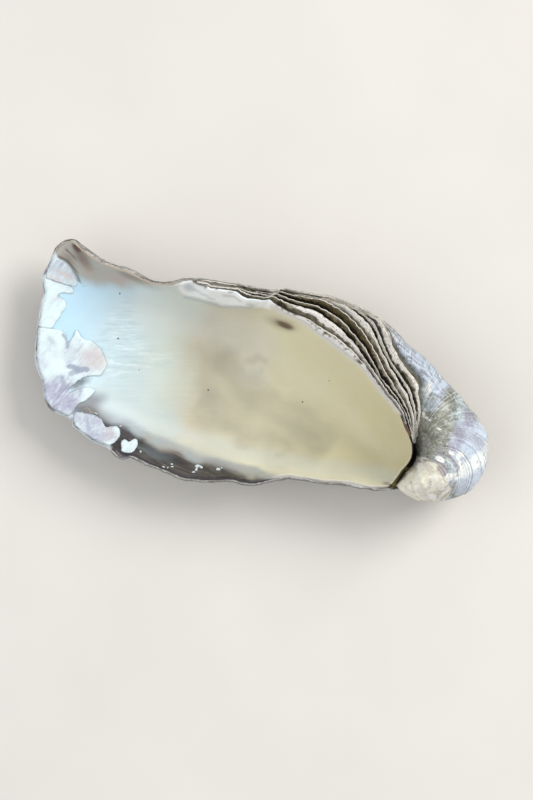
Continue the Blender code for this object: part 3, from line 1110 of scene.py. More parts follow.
    def mark(self, mesh: bpy.types.Mesh, points: Array, rings: list[Ring], given: dict) -> None:
        """Store the marks that the finishes read.

        Args:
            mesh: The body's mesh.
            points: Its vertices, in millimetres of the plan.
            rings: The skin's rings.
            given: Values worked out before, by name.
        """
        form = self.form
        plan = points[:, :2]
        drift = np.stack([grain(points, 5, 31, 3), grain(points, 5, 32, 3)], axis=1)
        store(mesh, "lengthwise", (plan[:, 0] + 0.7 * drift[:, 0] + 62) / 125)
        for name, (wander, *marks) in MARKS.items():
            store(mesh, name, covered(marks, plan + wander * drift))
        shares = np.concatenate([ring.shares() for ring in rings])
        outside = np.repeat([ring.zone is Zone.OUTSIDE for ring in rings], form.count)
        band = np.repeat([ring.zone is Zone.BAND for ring in rings], form.count)
        at_hinge = smooth(form.places, 25, 26) * smooth(form.places, 37.2, 36.2)
        lip = np.clip(1 - form.ledge_share, 0, 1) * (1 - at_hinge)
        plain = 1 - smooth(form.places, 17, 20) * smooth(form.places, 37.2, 36.2)
        edge = outside * smooth(shares, 1.3, 1) * np.tile(plain, len(rings))
        given = given | {"plain_lip": np.tile(lip, len(rings)), "edge_side": edge}
        below = {"band_share": np.where(band, shares, outside), "underside": smooth(shares, 0.96, 1.12) * outside}
        for table, at_poles in ((given, (0, 0)), (below, (0, 1))):
            for name, values in table.items():
                store(mesh, name, np.append(values, at_poles))


# Marks of the skin: name, then how far the marks' edges wander, in millimetres, and the marks.
MARKS = {
    # Painted sheen: a pale grey-blue band along the front wall, where it catches the light.
    "front_light": (0.4,
        Streak(((-25, -20.4), (-14.8, -22), (-0.6, -22.2), (13.3, -21.2), (30, -19), (39, -17.6)), 1.4, 3.6, 0.62)),
    "front_blue": (0.5, Streak(((-38, -18), (-28, -20), (-20, -21.2)), 2.4, 5.2, 0.6),
        Streak(((-34, -9), (-30, -14), (-22, -17)), 3, 5, 0.34)),
    # Painted light: brightens the back wall and the middle of the hollow, which the lamps leave darker.
    "back_light": (0.5, Streak(((-32, 8), (-20, 9), (-13, 8), (-4, 7)), 5, 6, 0.3),
        Spot(-2, -1.5, 4, 3, 0, 0.36, 0.8)),
    # Where short bright and dark lines are painted as light and shade on fine ripples.
    "rippled": (1, Spot(-38, -3, 5, 9.5, 6), Spot(-29, -5, 6, 4, 0, 0.5, 0.8)),
    "dark_margin": (0.7,
        Fringe(((-44.5, -20.8), (-40, -21.8), (-34, -23.4), (-28, -24.8), (-20, -27), (-8, -27.5), (0, -27.2),
            (3, -27.2), (6, -26.9), (10, -26), (15, -24.6)), -1, 1.8, 1, 3.5)),
    "soft_margin": (0.45,
        Fringe(((-42, -20.4), (-36, -21.4), (-30, -22.2), (-21.4, -24), (-14.6, -25.1), (-7.1, -26), (-0.2, -26.2),
            (4, -26.6)), -1, 1.8, 0.55, 4),
        Fringe(((-11, -25.9), (-7.9, -25.8), (1.7, -25), (10.2, -24.9), (15.8, -24.2), (21.4, -23.8), (27, -23.2)),
            -1, 1.1, 0.62, 4)),
    # Painted shadow: dark grey-blue beside and under the chalk patches at the far front, and in the crack between two
    # lobes.
    "slate": (0.6, Spot(-41.6, -20.9, 4.4, 2.3, 35, 1, 0.7), Spot(-37.4, -22.8, 3, 1.2, -20, 0.7, 0.8),
        Spot(-31, -25.4, 3, 1.6, -25, 0.8, 0.7), Spot(-45, -16.2, 2.6, 1.2, 45, 0.95)),
    "front_rim": (0.15, Streak(((10.6, -26), (14, -24.4), (19, -23.6), (30, -21.8), (40, -20.4)), 0.4, 0.5, 0.8)),
    "brown_margin": (0.9,
        Fringe(((-63, 12.6), (-57, 12.8), (-54, 11), (-51, 9.6), (-46, 9.6), (-41, 11), (-36, 12.4), (-31, 13.8),
            (-26.5, 15.6)), 1, 3.6, 0.85)),
    "dark_spots": (0.2, Spot(-55.2, 17.6, 1.6, 0.9, -38, 0.95, 0.35), Spot(-53, 15.4, 3.2, 1.3, -38, 0.6, 0.7),
        Spot(-56.4, 14, 2.2, 0.9, -30, 0.4, 0.8), Spot(2.5, 13.1, 2.4, 0.75, -8, 1, 0.45),
        Spot(1.5, 13.3, 3.4, 1.2, -4, 0.45, 0.9), Spot(-39.2, 14.2, 3.2, 0.9, -4, 0.45, 0.7),
        Streak(((-60.8, 14.5), (-56.5, 13.5), (-54, 11.8), (-52.2, 9.5)), 0.25, 0.35, 0.75),
        Streak(((-57.8, 16.4), (-55, 14.8)), 0.15, 0.35, 0.7),
        Streak(((-42, 15.6), (-36, 14.6), (-30, 14.9)), 0.25, 0.4, 0.7)),
    "grey_cloud": (1.6, Streak(((-10, 0), (0, -6.5), (10, -9), (20, -13)), 3, 4.2, 0.34),
        Streak(((-14, 0), (-12, -8)), 2.4, 4.5, 0.2),
        Streak(((-9, -12), (0, -14), (9, -14.5), (16, -16)), 3, 5, 0.36),
        Streak(((-10, -17), (0, -18), (11, -17.8)), 0.6, 5, 0.32), Spot(-1, -8, 4, 2.6, 0, 0.2, 0.8),
        Spot(-2.5, 2.2, 1.9, 1.1, 0, 0.22, 0.6)),
    "rosy": (0.8, Spot(-42, 12.5, 3.6, 1.2, 0, 0.55, 0.8), Spot(-56, 9.6, 2.6, 0.7, -12, 0.4, 0.6),
        Spot(-51, 13.2, 2.2, 1, -35, 0.5, 0.7), Spot(-42.6, -9, 2.2, 3.2, 60, 0.55, 0.8)),
    "white_rim": (0.3,
        Fringe(((-27.4, 14.6), (-24.3, 13.3), (-20.7, 13.5), (-14.1, 13.7), (-11, 14.4), (-6.9, 15.2), (-4, 15.9),
            (-1, 16.2)), 1, 1.3)),
    "crest_line": (0.25, Streak(((-2, 16.6), (1.6, 15.7), *CREST[7:18]), 0.5, 0.7, 0.8)),
    "rim_folds": (0.2,
        Streak(((-24.6, 12.8), (-20.7, 13.2), (-17, 13.2), (-14.1, 13.4), (-11, 14.3), (-6.9, 15.2)), 0.1, 0.5, 0.5),
        Spot(-24, 15.5, 1.4, 1, 0, 0.6, 0.7), Streak(((-22.6, 15.2), (-19.6, 14.6), (-17, 14.3)), 0.1, 0.35, 0.5),
        Streak(((-15, 16.2), (-12, 16.4), (-10.6, 15.9)), 0.1, 0.35, 0.5),
        Streak(((-8.6, 15.6), (-6, 16.2)), 0.1, 0.3, 0.45)),
    "chalk_rim": (0.3,
        Streak(((-43.4, -26.6), (-44.4, -25.5), (-50, -24.6), (-52.6, -22.2), (-54.2, -18.4), (-57, -14.6),
            (-58.1, -10.4), (-59.2, -5), (-60, 0.5), (-60, 4.4), (-61.3, 7.6), (-60.7, 11), (-60.6, 13.6)), 1.9, 0.6),
        Streak(((-43, -27.5), (-38, -29.2), (-33, -30.1)), 0.9, 0.5, 0.9)),
    "edge_slivers": (0.3, Streak(((-60.9, 12.2), (-61.3, 10.4), (-61.2, 9)), 0.35, 0.3, 0.8),
        Streak(((-60.9, 6.2), (-60.6, 5), (-60.4, 4)), 0.5, 0.3, 0.7),
        Streak(((-59, -3), (-59.1, -6), (-58.2, -9), (-57.9, -11)), 0.3, 0.3, 0.85),
        Streak(((-54.6, -16.6), (-54.2, -18), (-53.2, -19.6)), 0.4, 0.3, 0.8),
        Streak(((-52.2, -22.8), (-51.2, -24), (-49.8, -24.6)), 0.7, 0.4, 0.9),
        Streak(((-30.8, -30.6), (-29, -31.6), (-27, -31)), 0.3, 0.3, 0.5)),
    "rim_pits": (0.1, Streak(((-23.3, 17.25), (-21.4, 17.2), (-19.9, 16.9)), 0.5, 0.3, 0.9),
        Spot(-17, 17.2, 0.5, 0.28, -20, 0.9, 0.4), Spot(-13.2, 17.2, 0.9, 0.2, -8, 0.5),
        Spot(40.2, -19.4, 0.5, 0.4, 0, 0.95, 0.4), Spot(39, -19.2, 0.9, 0.4, 10, 0.5, 0.7)),
    "rust": (0.15, Streak(((38.9, -2.9), (40.2, -4.3), (40.9, -5.4)), 0.5, 0.5, 0.9)),
    "blue_haze": (0.6, Streak(((-36, -22), (-31, -22.6), (-26, -23.8)), 1, 2, 0.45),
        Streak(((-22, -25.2), (-14, -25.6), (-6, -26), (3, -25.9), (11, -25.4), (19, -24.2)), 0.6, 1.6, 0.42),
        Spot(-11.3, -26.8, 2.2, 0.7, -8, 0.5, 0.8), Spot(-20.4, -28.2, 4.2, 1, -6, 0.2, 0.8)),
    # Painted shade: near black deep in the hinge groove and beside the ligament.
    "sunk_black": (0.15,
        Streak(((37.6, -1.9), (39.4, -4), (41, -5.9), (42.8, -7.6), (43.9, -9.6), (43.9, -11.4), (43.3, -12.9)), 0.9,
            0.5), Streak(((42.9, -14.6), (42.3, -16.4), (41.8, -18.2)), 0.3, 0.35, 0.9)),
    "ligament": (0.1, Streak(((42.7, -13.8), (41.9, -16), (41, -18.6)), 0.9, 0.4, 0.95)),
    "beak": (0.5, Spot(47.2, -16, 7.6, 5.6, -20, 1, 0.12), Spot(52, -17.6, 3.4, 3.6, 0, 0.75, 0.4)),
    "beak_stain": (0.4, Spot(51.4, -11.9, 1.8, 1, -35, 0.8),
        Streak(((45.4, -11.3), (47.4, -10.5), (50, -10.3), (52.6, -11)), 0.2, 0.4, 0.9),
        Streak(((49.2, -14.6), (49.9, -16.4)), 0.4, 0.6, 0.55), Streak(((44, -14), (45.2, -13.4)), 0.2, 0.3, 0.6),
        Streak(((52.4, -18.9), (54.2, -15.6), (55, -12.6)), 0.2, 0.5, 0.6),
        Streak(((53.8, -19), (55.4, -16.4), (56, -13.8)), 0.2, 0.6, 0.55),
        Streak(((51.6, -18.6), (52.8, -16.4), (53.4, -13.6)), 0.1, 0.5, 0.3),
        Spot(44.8, -17.4, 1.6, 0.7, -60, 0.4, 0.8),
        Streak(((48, -8.9), (50.6, -7.6), (53.4, -8.2), (54.9, -10), (55.7, -12)), 0.25, 0.4, 0.9)),
    "chipped_white": (0.35, Spot(50, -9.4, 1.3, 0.65, -12, 1, 0.3), Spot(52.8, -6.9, 0.9, 0.5, -30, 1, 0.3),
        Spot(55.2, -6.6, 1.3, 0.8, 10, 1, 0.3), Streak(((54.6, -7.2), (55.6, -9), (57.2, -11)), 0.4, 0.35, 0.9),
        Spot(53.8, -13, 1.1, 1.5, 0, 0.7, 0.6), Spot(51, -19, 1.6, 0.9, 10, 0.7, 0.6),
        Spot(47.7, -2.3, 0.5, 0.3, 0, 1, 0.3), Streak(((42.5, 1.5), (43.6, 0.2), (45.2, -0.6)), 0.3, 0.7, 0.6),
        Streak(((42.4, 8.6), (43, 6.6), (42.6, 4.8)), 0.3, 0.8, 0.55),
        Streak(((41.6, -1.4), (42.4, -4.6), (43.4, -7.4)), 0.2, 0.35, 0.5)),
    # Painted highlight: a pale band on the umbo where it catches the light, and a pale patch at the edge of the band
    # that paints out its shade.
    "pale_band": (0.4, Spot(42.2, 7, 1.2, 2.6, 0, 0.6, 0.7), Streak(((55.7, -12.2), (57.6, -10.2)), 0.4, 1.6, 0.9),
        Streak(((57.6, -10.2), (59.6, -8), (62, -4.6), (63.2, -2.4)), 0.8, 2.6, 0.95)),
    # Grey-olive in the valley beside the hinge groove, darkened as painted shade.
    "valley": (0.8, Streak(((44.4, -10), (44.6, -6), (44.2, -1)), 2, 3.2),
        Streak(((45.4, -9.6), (48.4, -5.4), (50, -1)), 1.6, 2.6, 0.8),
        Streak(((48.6, 8.2), (47.2, 4.8), (46.6, 1), (46.8, -3)), 0.4, 1.6, 0.75),
        Streak(((48.8, 4.4), (48.4, 1)), 0.6, 1.8, 0.8), Spot(51, -7, 1.6, 1.6, 0, 0.6, 0.6)),
    "lilac": (0.9, Spot(55.4, 3.2, 2.6, 1.2, -50, 0.8, 0.8), Spot(53.1, -1.1, 3, 1.2, -50, 0.8, 0.8),
        Spot(52.1, -5.2, 2.2, 0.9, -30, 0.75, 0.8), Streak(((54.6, 3), (54, -1), (53.8, -4.6)), 1, 1.4, 0.6),
        Spot(58.8, -2, 2.6, 1.2, -50, 0.25, 0.8), Spot(59.4, -13.4, 2.6, 1.6, 50, 0.25, 0.8)),
    "sky_blue": (0.9, Spot(56.6, -3.4, 6, 6.4, 0, 0.9), Spot(59.6, -12.6, 4.4, 4, 40, 0.9),
        Streak(((29, 19.4), (34, 17), (38, 14.6), (42, 11.6), (46, 8.8)), 2.6, 2.2),
        Spot(46.6, 4, 2.2, 3.6, -10, 0.5, 0.7)),
}


@dataclass(frozen=True)
class InsideFinish:
    """The smooth, satin inside: pale blue at the far end, cream towards the hinge."""

    far_blue: Colour = (0.5, 0.73, 0.88)
    mid_left: Colour = (0.61, 0.68, 0.62)
    middle: Colour = (0.55, 0.51, 0.38)
    cream: Colour = (0.79, 0.745, 0.525)
    khaki: Colour = (0.65, 0.6, 0.385)
    roughness: float = 0.36
    # Small dark flecks: place on the plan and radius, in millimetres.
    specks: tuple[tuple[float, float, float], ...] = (
        (-38.5, -2.2, 0.26), (-41.2, 9.2, 0.22), (-12.2, -8.6, 0.24), (12.4, -4.8, 0.22), (-31.0, -8.5, 0.15),
        (17.6, 2.4, 0.14),
    )

    def material(self) -> bpy.types.Material:
        """Make the finish.

        Returns:
            The material.
        """
        sheet = Palette("inside_nacre")
        cloud = sheet.centred(sheet.noise(22, 2))
        lengthwise = sheet.plus(sheet.mask("lengthwise"), sheet.times(cloud, 0.14))
        sheet.colour = sheet.ramp(lengthwise, [
            (0.1, self.far_blue), (0.18, (0.57, 0.72, 0.78)), (0.28, self.mid_left), (0.37, self.middle),
            (0.54, self.cream), (0.78, self.khaki), (0.94, (0.52, 0.47, 0.32)),
        ])
        sheet.coat(
            # The pale band along the front wall is painted sheen.
            # The pale tint on the back wall and the middle of the hollow is painted light.
            back_light=(0.85, 0.86, 0.82), front_light=(0.58, 0.61, 0.56), front_blue=(0.47, 0.55, 0.55),
            # The slate tint is painted shadow beside the chalk patches.
            grey_cloud=(0.27, 0.26, 0.2), brown_margin=(0.42, 0.37, 0.29), slate=(0.13, 0.155, 0.185),
            soft_margin=(0.19, 0.165, 0.16),
        )
        streaks = sheet.noise(3.4, 4, 0.62, 0.8, sheet.stretched((0.35, 1.5, 1), 12))
        charcoal = sheet.ramp(streaks, [
            (0.34, (0.012, 0.01, 0.013)), (0.47, (0.025, 0.021, 0.023)), (0.58, (0.065, 0.053, 0.05)),
            (0.72, (0.17, 0.16, 0.17)),
        ])
        sheet.over(sheet.mask("dark_margin"), charcoal)
        sheet.coat(
            blue_haze=(0.36, 0.44, 0.5), rosy=(0.5, 0.39, 0.34), dark_spots=(0.1, 0.045, 0.02),
            white_rim=(0.95, 0.97, 0.96), crest_line=(0.74, 0.72, 0.65), rim_folds=(0.36, 0.41, 0.46),
            chalk_rim=(0.7, 0.78, 0.82), front_rim=(0.62, 0.6, 0.56), rim_pits=(0.085, 0.06, 0.04),
            edge_slivers=SLIVER,
        )
        for x, y, size in self.specks:
            sheet.over(sheet.speck(x, y, size), (0.1, 0.09, 0.07))
        mottling = sheet.noise(6, 4, 0.6)
        grey = sheet.ramp(mottling, [(0.3, (0.25,) * 3), (0.7, (0.9,) * 3)])
        sheet.colour = sheet.blend(0.08, sheet.colour, grey, "SOFT_LIGHT")
        ripples = sheet.noise(3, 2, 0.5, 0, sheet.stretched((0.18, 2.2, 1), -16))
        short = sheet.noise(1.3, 2, 0.5, 0, sheet.stretched((0.22, 1.5, 1), -16))
        # Painted light and shade: short bright and dark lines on the fine ripples.
        for low, high, tint in ((0.46, 0.38, (0.42, 0.55, 0.62)), (0.55, 0.63, (0.8, 0.9, 0.94))):
            strength = sheet.times(sheet.times(sheet.step(short, low, high), 0.45), sheet.mask("rippled"))
            sheet.over(strength, tint)
        normal = sheet.bump((ripples, 0.08), (sheet.noise(1.2, 3), 0.01))
        rough = sheet.plus(sheet.times(mottling, 0.12), self.roughness - 0.06)
        return sheet.finish(
            rough, normal, Coat_Weight=0.12, Coat_Roughness=0.3, Subsurface_Weight=0.06, Subsurface_Scale=0.002)


@dataclass(frozen=True)
class BandFinish:
    """The dark, stepped band under and between the growth layers, whose near black is painted shade in the gaps
    between them, and the plain lip elsewhere.
    """

    # Painted shade in the gaps between the layers and deep in the hinge groove.
    black: Colour = (0.012, 0.009, 0.006)
    olive: Colour = (0.11, 0.088, 0.035)
    pale: Colour = (0.52, 0.5, 0.46)

    def material(self) -> bpy.types.Material:
        """Make the finish.

        Returns:
            The material.
        """
        sheet = Palette("band_skin")
        sheet.colour = self.pale
        sheet.coat(brown_margin=(0.34, 0.29, 0.23), dark_margin=(0.05, 0.043, 0.05))
        inner = sheet.colour
        # Black to olive lines; their black is painted shade in the gaps between the layers.
        lines = sheet.noise(1, 3, 0.6, 0.4)
        sheet.colour = sheet.ramp(lines, [(0.32, self.black), (0.55, self.olive), (0.75, (0.26, 0.235, 0.17))])
        wander = sheet.times(sheet.centred(sheet.noise(1.6, 3)), 0.4)
        reach = sheet.plus(sheet.mask("band_share"), wander)
        sheet.over(sheet.step(reach, 0.16, 0.05), (0.62, 0.61, 0.59))
        sheet.over(sheet.step(reach, 0.84, 0.95), (0.4, 0.38, 0.31), 0.85)
        lip = sheet.ramp(sheet.noise(1, 4, 0.7), [
            (0.36, (0.24, 0.21, 0.19)), (0.46, self.pale), (0.62, (0.74, 0.75, 0.74))])
        lip = sheet.blend(sheet.step(reach, 0.6, 0.88), inner, lip)
        sheet.over(sheet.mask("plain_lip"), lip)
        rim = sheet.times(sheet.mask("white_rim"), sheet.step(reach, 0.5, 0.25))
        sheet.over(rim, (0.84, 0.89, 0.9))
        sheet.coat(
            chalk_rim=(0.7, 0.77, 0.81), edge_slivers=SLIVER, ligament=(0.22, 0.185, 0.065),
            # The black along the hinge groove is painted shade.
            sunk_black=self.black, rust=(0.16, 0.085, 0.06), rim_pits=(0.06, 0.042, 0.028),
        )
        return sheet.finish(0.6, sheet.bump((sheet.noise(0.7, 3), 0.1)))


@dataclass(frozen=True)
class OutsideFinish:
    """The ridged outer surface: grey-blue with fine growth lines, cream at the beak, dull below."""

    grey_olive: Colour = (0.26, 0.265, 0.2)
    grey_blue: Colour = (0.28, 0.33, 0.33)
    pale_blue: Colour = (0.52, 0.6, 0.71)
    below: Colour = (0.33, 0.3, 0.25)

    def material(self) -> bpy.types.Material:
        """Make the finish.

        Returns:
            The material.
        """
        sheet = Palette("outer_skin")
        drift = sheet.times(sheet.centred(sheet.noise(6, 3)), 0.12)
        growth = sheet.plus(sheet.mask("growth"), drift)
        line_place = sheet.combine(X=growth)
        fine = sheet.noise(120, 3, 0.75, 0, line_place)
        broad = sheet.noise(700, 2, 0.5, 0, line_place)
        mottle = sheet.noise(2.4, 5, 0.75, 0.7)
        specks = sheet.noise(0.8, 3, 0.7)
        slanting = sheet.vector_math("ADD", line_place, sheet.scaled(sheet.place, 26))
        along = sheet.noise(260, 4, 0.7, 0, slanting)
        patchy = sheet.plus(sheet.times(along, 0.6), sheet.times(mottle, 0.4))
        sheet.colour = sheet.ramp(mottle, [
            (0.36, (0.13, 0.14, 0.11)), (0.46, self.grey_blue), (0.56, (0.46, 0.54, 0.58)), (0.66, (0.7, 0.75, 0.76)),
        ])
        sheet.over(sheet.broken("sky_blue", patchy, 0.8, 0.4), self.pale_blue)
        sheet.over(sheet.broken("lilac", patchy, 1.3, 0.4), (0.26, 0.25, 0.34), 0.8)
        # The valley's grey-olive is darkened as painted shade.
        sheet.over(sheet.broken("valley", patchy, 0.7, 0.5), sheet.ramp(mottle, [
            (0.38, (0.13, 0.13, 0.085)), (0.5, self.grey_olive), (0.64, (0.46, 0.48, 0.43))]))
        # Painted highlight on the umbo.
        sheet.over(sheet.broken("pale_band", patchy, 0.5, 0.45), (0.82, 0.87, 0.88))
        beak = sheet.ramp(sheet.noise(2.6, 4, 0.65), [
            (0.34, (0.62, 0.56, 0.45)), (0.5, (0.84, 0.82, 0.67)), (0.66, (0.9, 0.9, 0.84))])
        sheet.over(sheet.broken("beak", patchy, 0.7), beak)
        sheet.over(sheet.broken("beak_stain", patchy, 1.2, 0.38), (0.24, 0.19, 0.2), 0.8)
        sheet.over(sheet.broken("chipped_white", specks, 0.7, 0.1), (0.88, 0.88, 0.85))
        dull = sheet.ramp(sheet.noise(9, 6, 0.68), [
            (0.3, (0.17, 0.145, 0.115)), (0.46, self.below), (0.58, (0.44, 0.42, 0.37)), (0.72, (0.6, 0.6, 0.57)),
        ])
        sheet.over(sheet.mask("underside"), dull)
        height = sheet.add("ShaderNodeSeparateXYZ", {"Vector": sheet.place}).outputs["Z"]
        stack = sheet.plus(height, sheet.times(sheet.noise(7, 3), 0.003))
        sheets = sheet.noise(0.55, 3, 0.7, 0, sheet.combine(X=stack))
        edges = sheet.ramp(sheets, [
            (0.34, (0.13, 0.11, 0.085)), (0.45, (0.36, 0.33, 0.27)), (0.55, (0.58, 0.57, 0.53)),
            (0.7, (0.76, 0.77, 0.77)),
        ])
        sheet.over(sheet.mask("edge_side"), edges, 0.75)
        quiet = sheet.math("SUBTRACT", 1, sheet.times(sheet.mask("beak"), 0.6))
        sheet.over(sheet.times(sheet.step(fine, 0.48, 0.4), quiet), (0.13, 0.13, 0.15), 0.62)
        sheet.over(sheet.step(fine, 0.54, 0.62), (0.78, 0.8, 0.79), 0.55)
        sheet.over(sheet.step(broad, 0.5, 0.34), (0.2, 0.18, 0.19), 0.35)
        for low, high, tint in ((0.44, 0.34, (0.14, 0.14, 0.13)), (0.57, 0.67, (0.8, 0.82, 0.83))):
            sheet.over(sheet.times(sheet.step(specks, low, high), quiet), tint, 0.5)
        # Painted shade at the foot of each step of the underside and of the edge's layers.
        sheet.over(sheet.mask("step_foot"), (0.08, 0.065, 0.05), 0.7)
        # The near black along the hinge groove is painted shade.
        sheet.coat(chalk_rim=(0.68, 0.74, 0.78), edge_slivers=SLIVER, sunk_black=(0.02, 0.015, 0.012))
        normal = sheet.bump((fine, 0.25), (sheet.times(sheets, sheet.mask("edge_side")), 0.3), (specks, 0.06))
        return sheet.finish(sheet.plus(sheet.times(mottle, 0.25), 0.36), normal)


@dataclass(frozen=True)
class LayerFinish:
    """The growth layers: thin pale lips, olive-brown or stone treads, and black painted shadow where one goes under
    the next.
    """

    lip: Colour = (0.82, 0.79, 0.71)
    olive: Colour = (0.065, 0.048, 0.01)
    brown: Colour = (0.022, 0.014, 0.005)
    stone: Colour = (0.37, 0.33, 0.235)
    pale: Colour = (0.92, 0.9, 0.86)
    # Painted shadow in the slit where a layer goes under the next.
    black: Colour = (0.006, 0.005, 0.003)

    def material(self) -> bpy.types.Material:
        """Make the finish.

        Returns:
            The material.
        """
        sheet = Palette("layer_edges")
        from_lip, from_gap, tone = (sheet.mask(name) for name in ("from_lip", "from_gap", "tone"))
        patches = sheet.noise(3, 4, 0.65, 0.6)
        fine = sheet.noise(0.7, 3, 0.65)
        uneven = sheet.centred(patches)
        tread = sheet.ramp(patches, [(0.36, self.brown), (0.5, self.olive), (0.68, (0.16, 0.13, 0.05))])
        stone = sheet.ramp(patches, [(0.32, (0.12, 0.1, 0.07)), (0.5, self.stone), (0.68, (0.5, 0.48, 0.42))])
        pale = sheet.ramp(fine, [(0.32, (0.3, 0.27, 0.25)), (0.44, self.pale), (0.7, (0.9, 0.88, 0.86))])
        rib = sheet.step(sheet.plus(sheet.mask("across"), sheet.times(uneven, 0.5)), 0.22, 0.95)
        tone = sheet.plus(sheet.times(tone, sheet.plus(sheet.times(rib, 1.1), 0.4)), sheet.times(uneven, 0.5))
        sheet.colour = sheet.blend(sheet.step(tone, 0.05, 0.55), tread, stone)
        sheet.over(sheet.step(tone, 0.7, 0.98), pale)
        line_place = sheet.combine(X=sheet.plus(sheet.times(from_lip, MM), sheet.times(patches, 0.0008)))
        lines = sheet.noise(0.5, 2, 0.6, 0, line_place)
        sheet.over(sheet.step(lines, 0.48, 0.36), (0.03, 0.022, 0.012), 0.5)
        sheet.over(sheet.step(lines, 0.58, 0.68), (0.52, 0.5, 0.44), 0.3)
        crumbs = sheet.centred(fine)
        reach = sheet.plus(from_lip, sheet.plus(sheet.times(uneven, 0.7), sheet.times(crumbs, 0.8)))
        edge = sheet.math("SUBTRACT", reach, sheet.mask("lip_width"))
        bright = sheet.step(edge, 0.1, -0.04)
        # Painted shadow: black near the root of each tread, under the lip of the layer above.
        shade = sheet.plus(from_gap, sheet.plus(sheet.times(uneven, 2.2), sheet.times(crumbs, 0.5)))
        hidden = sheet.times(sheet.step(shade, 1, 0.45), sheet.mask("dark"))
        sheet.over(hidden, self.black)
        sheet.over(bright, sheet.ramp(fine, [
            (0.3, (0.5, 0.46, 0.38)), (0.5, self.lip), (0.68, (0.95, 0.94, 0.91))]))
        normal = sheet.bump((lines, 0.07), (fine, 0.09))
        return sheet.finish(sheet.plus(sheet.times(tone, 0.25), 0.34), normal)


@dataclass(frozen=True)
class ChalkFinish:
    """Dull chalky shell, white to lavender, with fine slanting lines."""

    white: Colour = (0.71, 0.84, 0.86)
    lavender: Colour = (0.42, 0.44, 0.55)

    def material(self) -> bpy.types.Material:
        """Make the finish.

        Returns:
            The material.
        """
        sheet = Palette("chalk_layers")
        clouds = sheet.centred(sheet.noise(3.5, 4, 0.65))
        lilac = sheet.math("ADD", sheet.mask("lilac_share"), sheet.times(clouds, 1.3), clamp=True)
        sheet.colour = sheet.blend(lilac, self.white, self.lavender)
        striae = sheet.noise(1.1, 4, 0.65, 0.3, sheet.stretched((0.2, 1.7, 1), -62))
        shade = sheet.times(sheet.step(striae, 0.5, 0.34), sheet.plus(sheet.times(lilac, 0.5), 0.12))
        sheet.over(shade, (0.24, 0.235, 0.34))
        sheet.over(sheet.step(striae, 0.56, 0.66), self.white, 0.5)
        sheet.over(sheet.mask("rosy_share"), (0.6, 0.49, 0.47), 0.7)
        # Blue-grey, mostly painted shade in the cracks and notches of the patches.
        sheet.over(sheet.mask("blue_share"), (0.3, 0.34, 0.44))
        # Painted shade: a grey rim along each patch's edge.
        sheet.over(sheet.step(sheet.mask("from_edge"), 0.45, 0), (0.5, 0.53, 0.56), 0.3)
        normal = sheet.bump((striae, 0.14), (sheet.noise(0.6, 4, 0.6), 0.06))
        return sheet.finish(0.72, normal, Subsurface_Weight=0.06, Subsurface_Scale=0.001)


def bake_nodes(thing: Thing, tree: bpy.types.NodeTree, values: dict, name: str) -> Thing:
    """Run a geometry tree on an object and keep the result as a plain mesh.

    Args:
        thing: The object that the tree starts from; it is removed.
        tree: The geometry tree.
        values: Input values by the inputs' names.
        name: Name of the result.

    Returns:
        The result's object.
    """
    modifier = thing.modifiers.new("grow", "NODES")
    modifier.node_group = tree
    for item in tree.interface.items_tree:
        if item.item_type == "SOCKET" and item.in_out == "INPUT" and item.name in values:
            modifier[item.identifier] = values[item.name]
    bpy.context.view_layer.update()
    evaluated = thing.evaluated_get(bpy.context.evaluated_depsgraph_get())
    mesh = bpy.data.meshes.new_from_object(evaluated)
    mesh.name = name
    result = bpy.data.objects.new(name, mesh)
    bpy.context.scene.collection.objects.link(result)
    thing.modifiers.remove(modifier)
    bpy.data.objects.remove(thing, do_unlink=True)
    return result


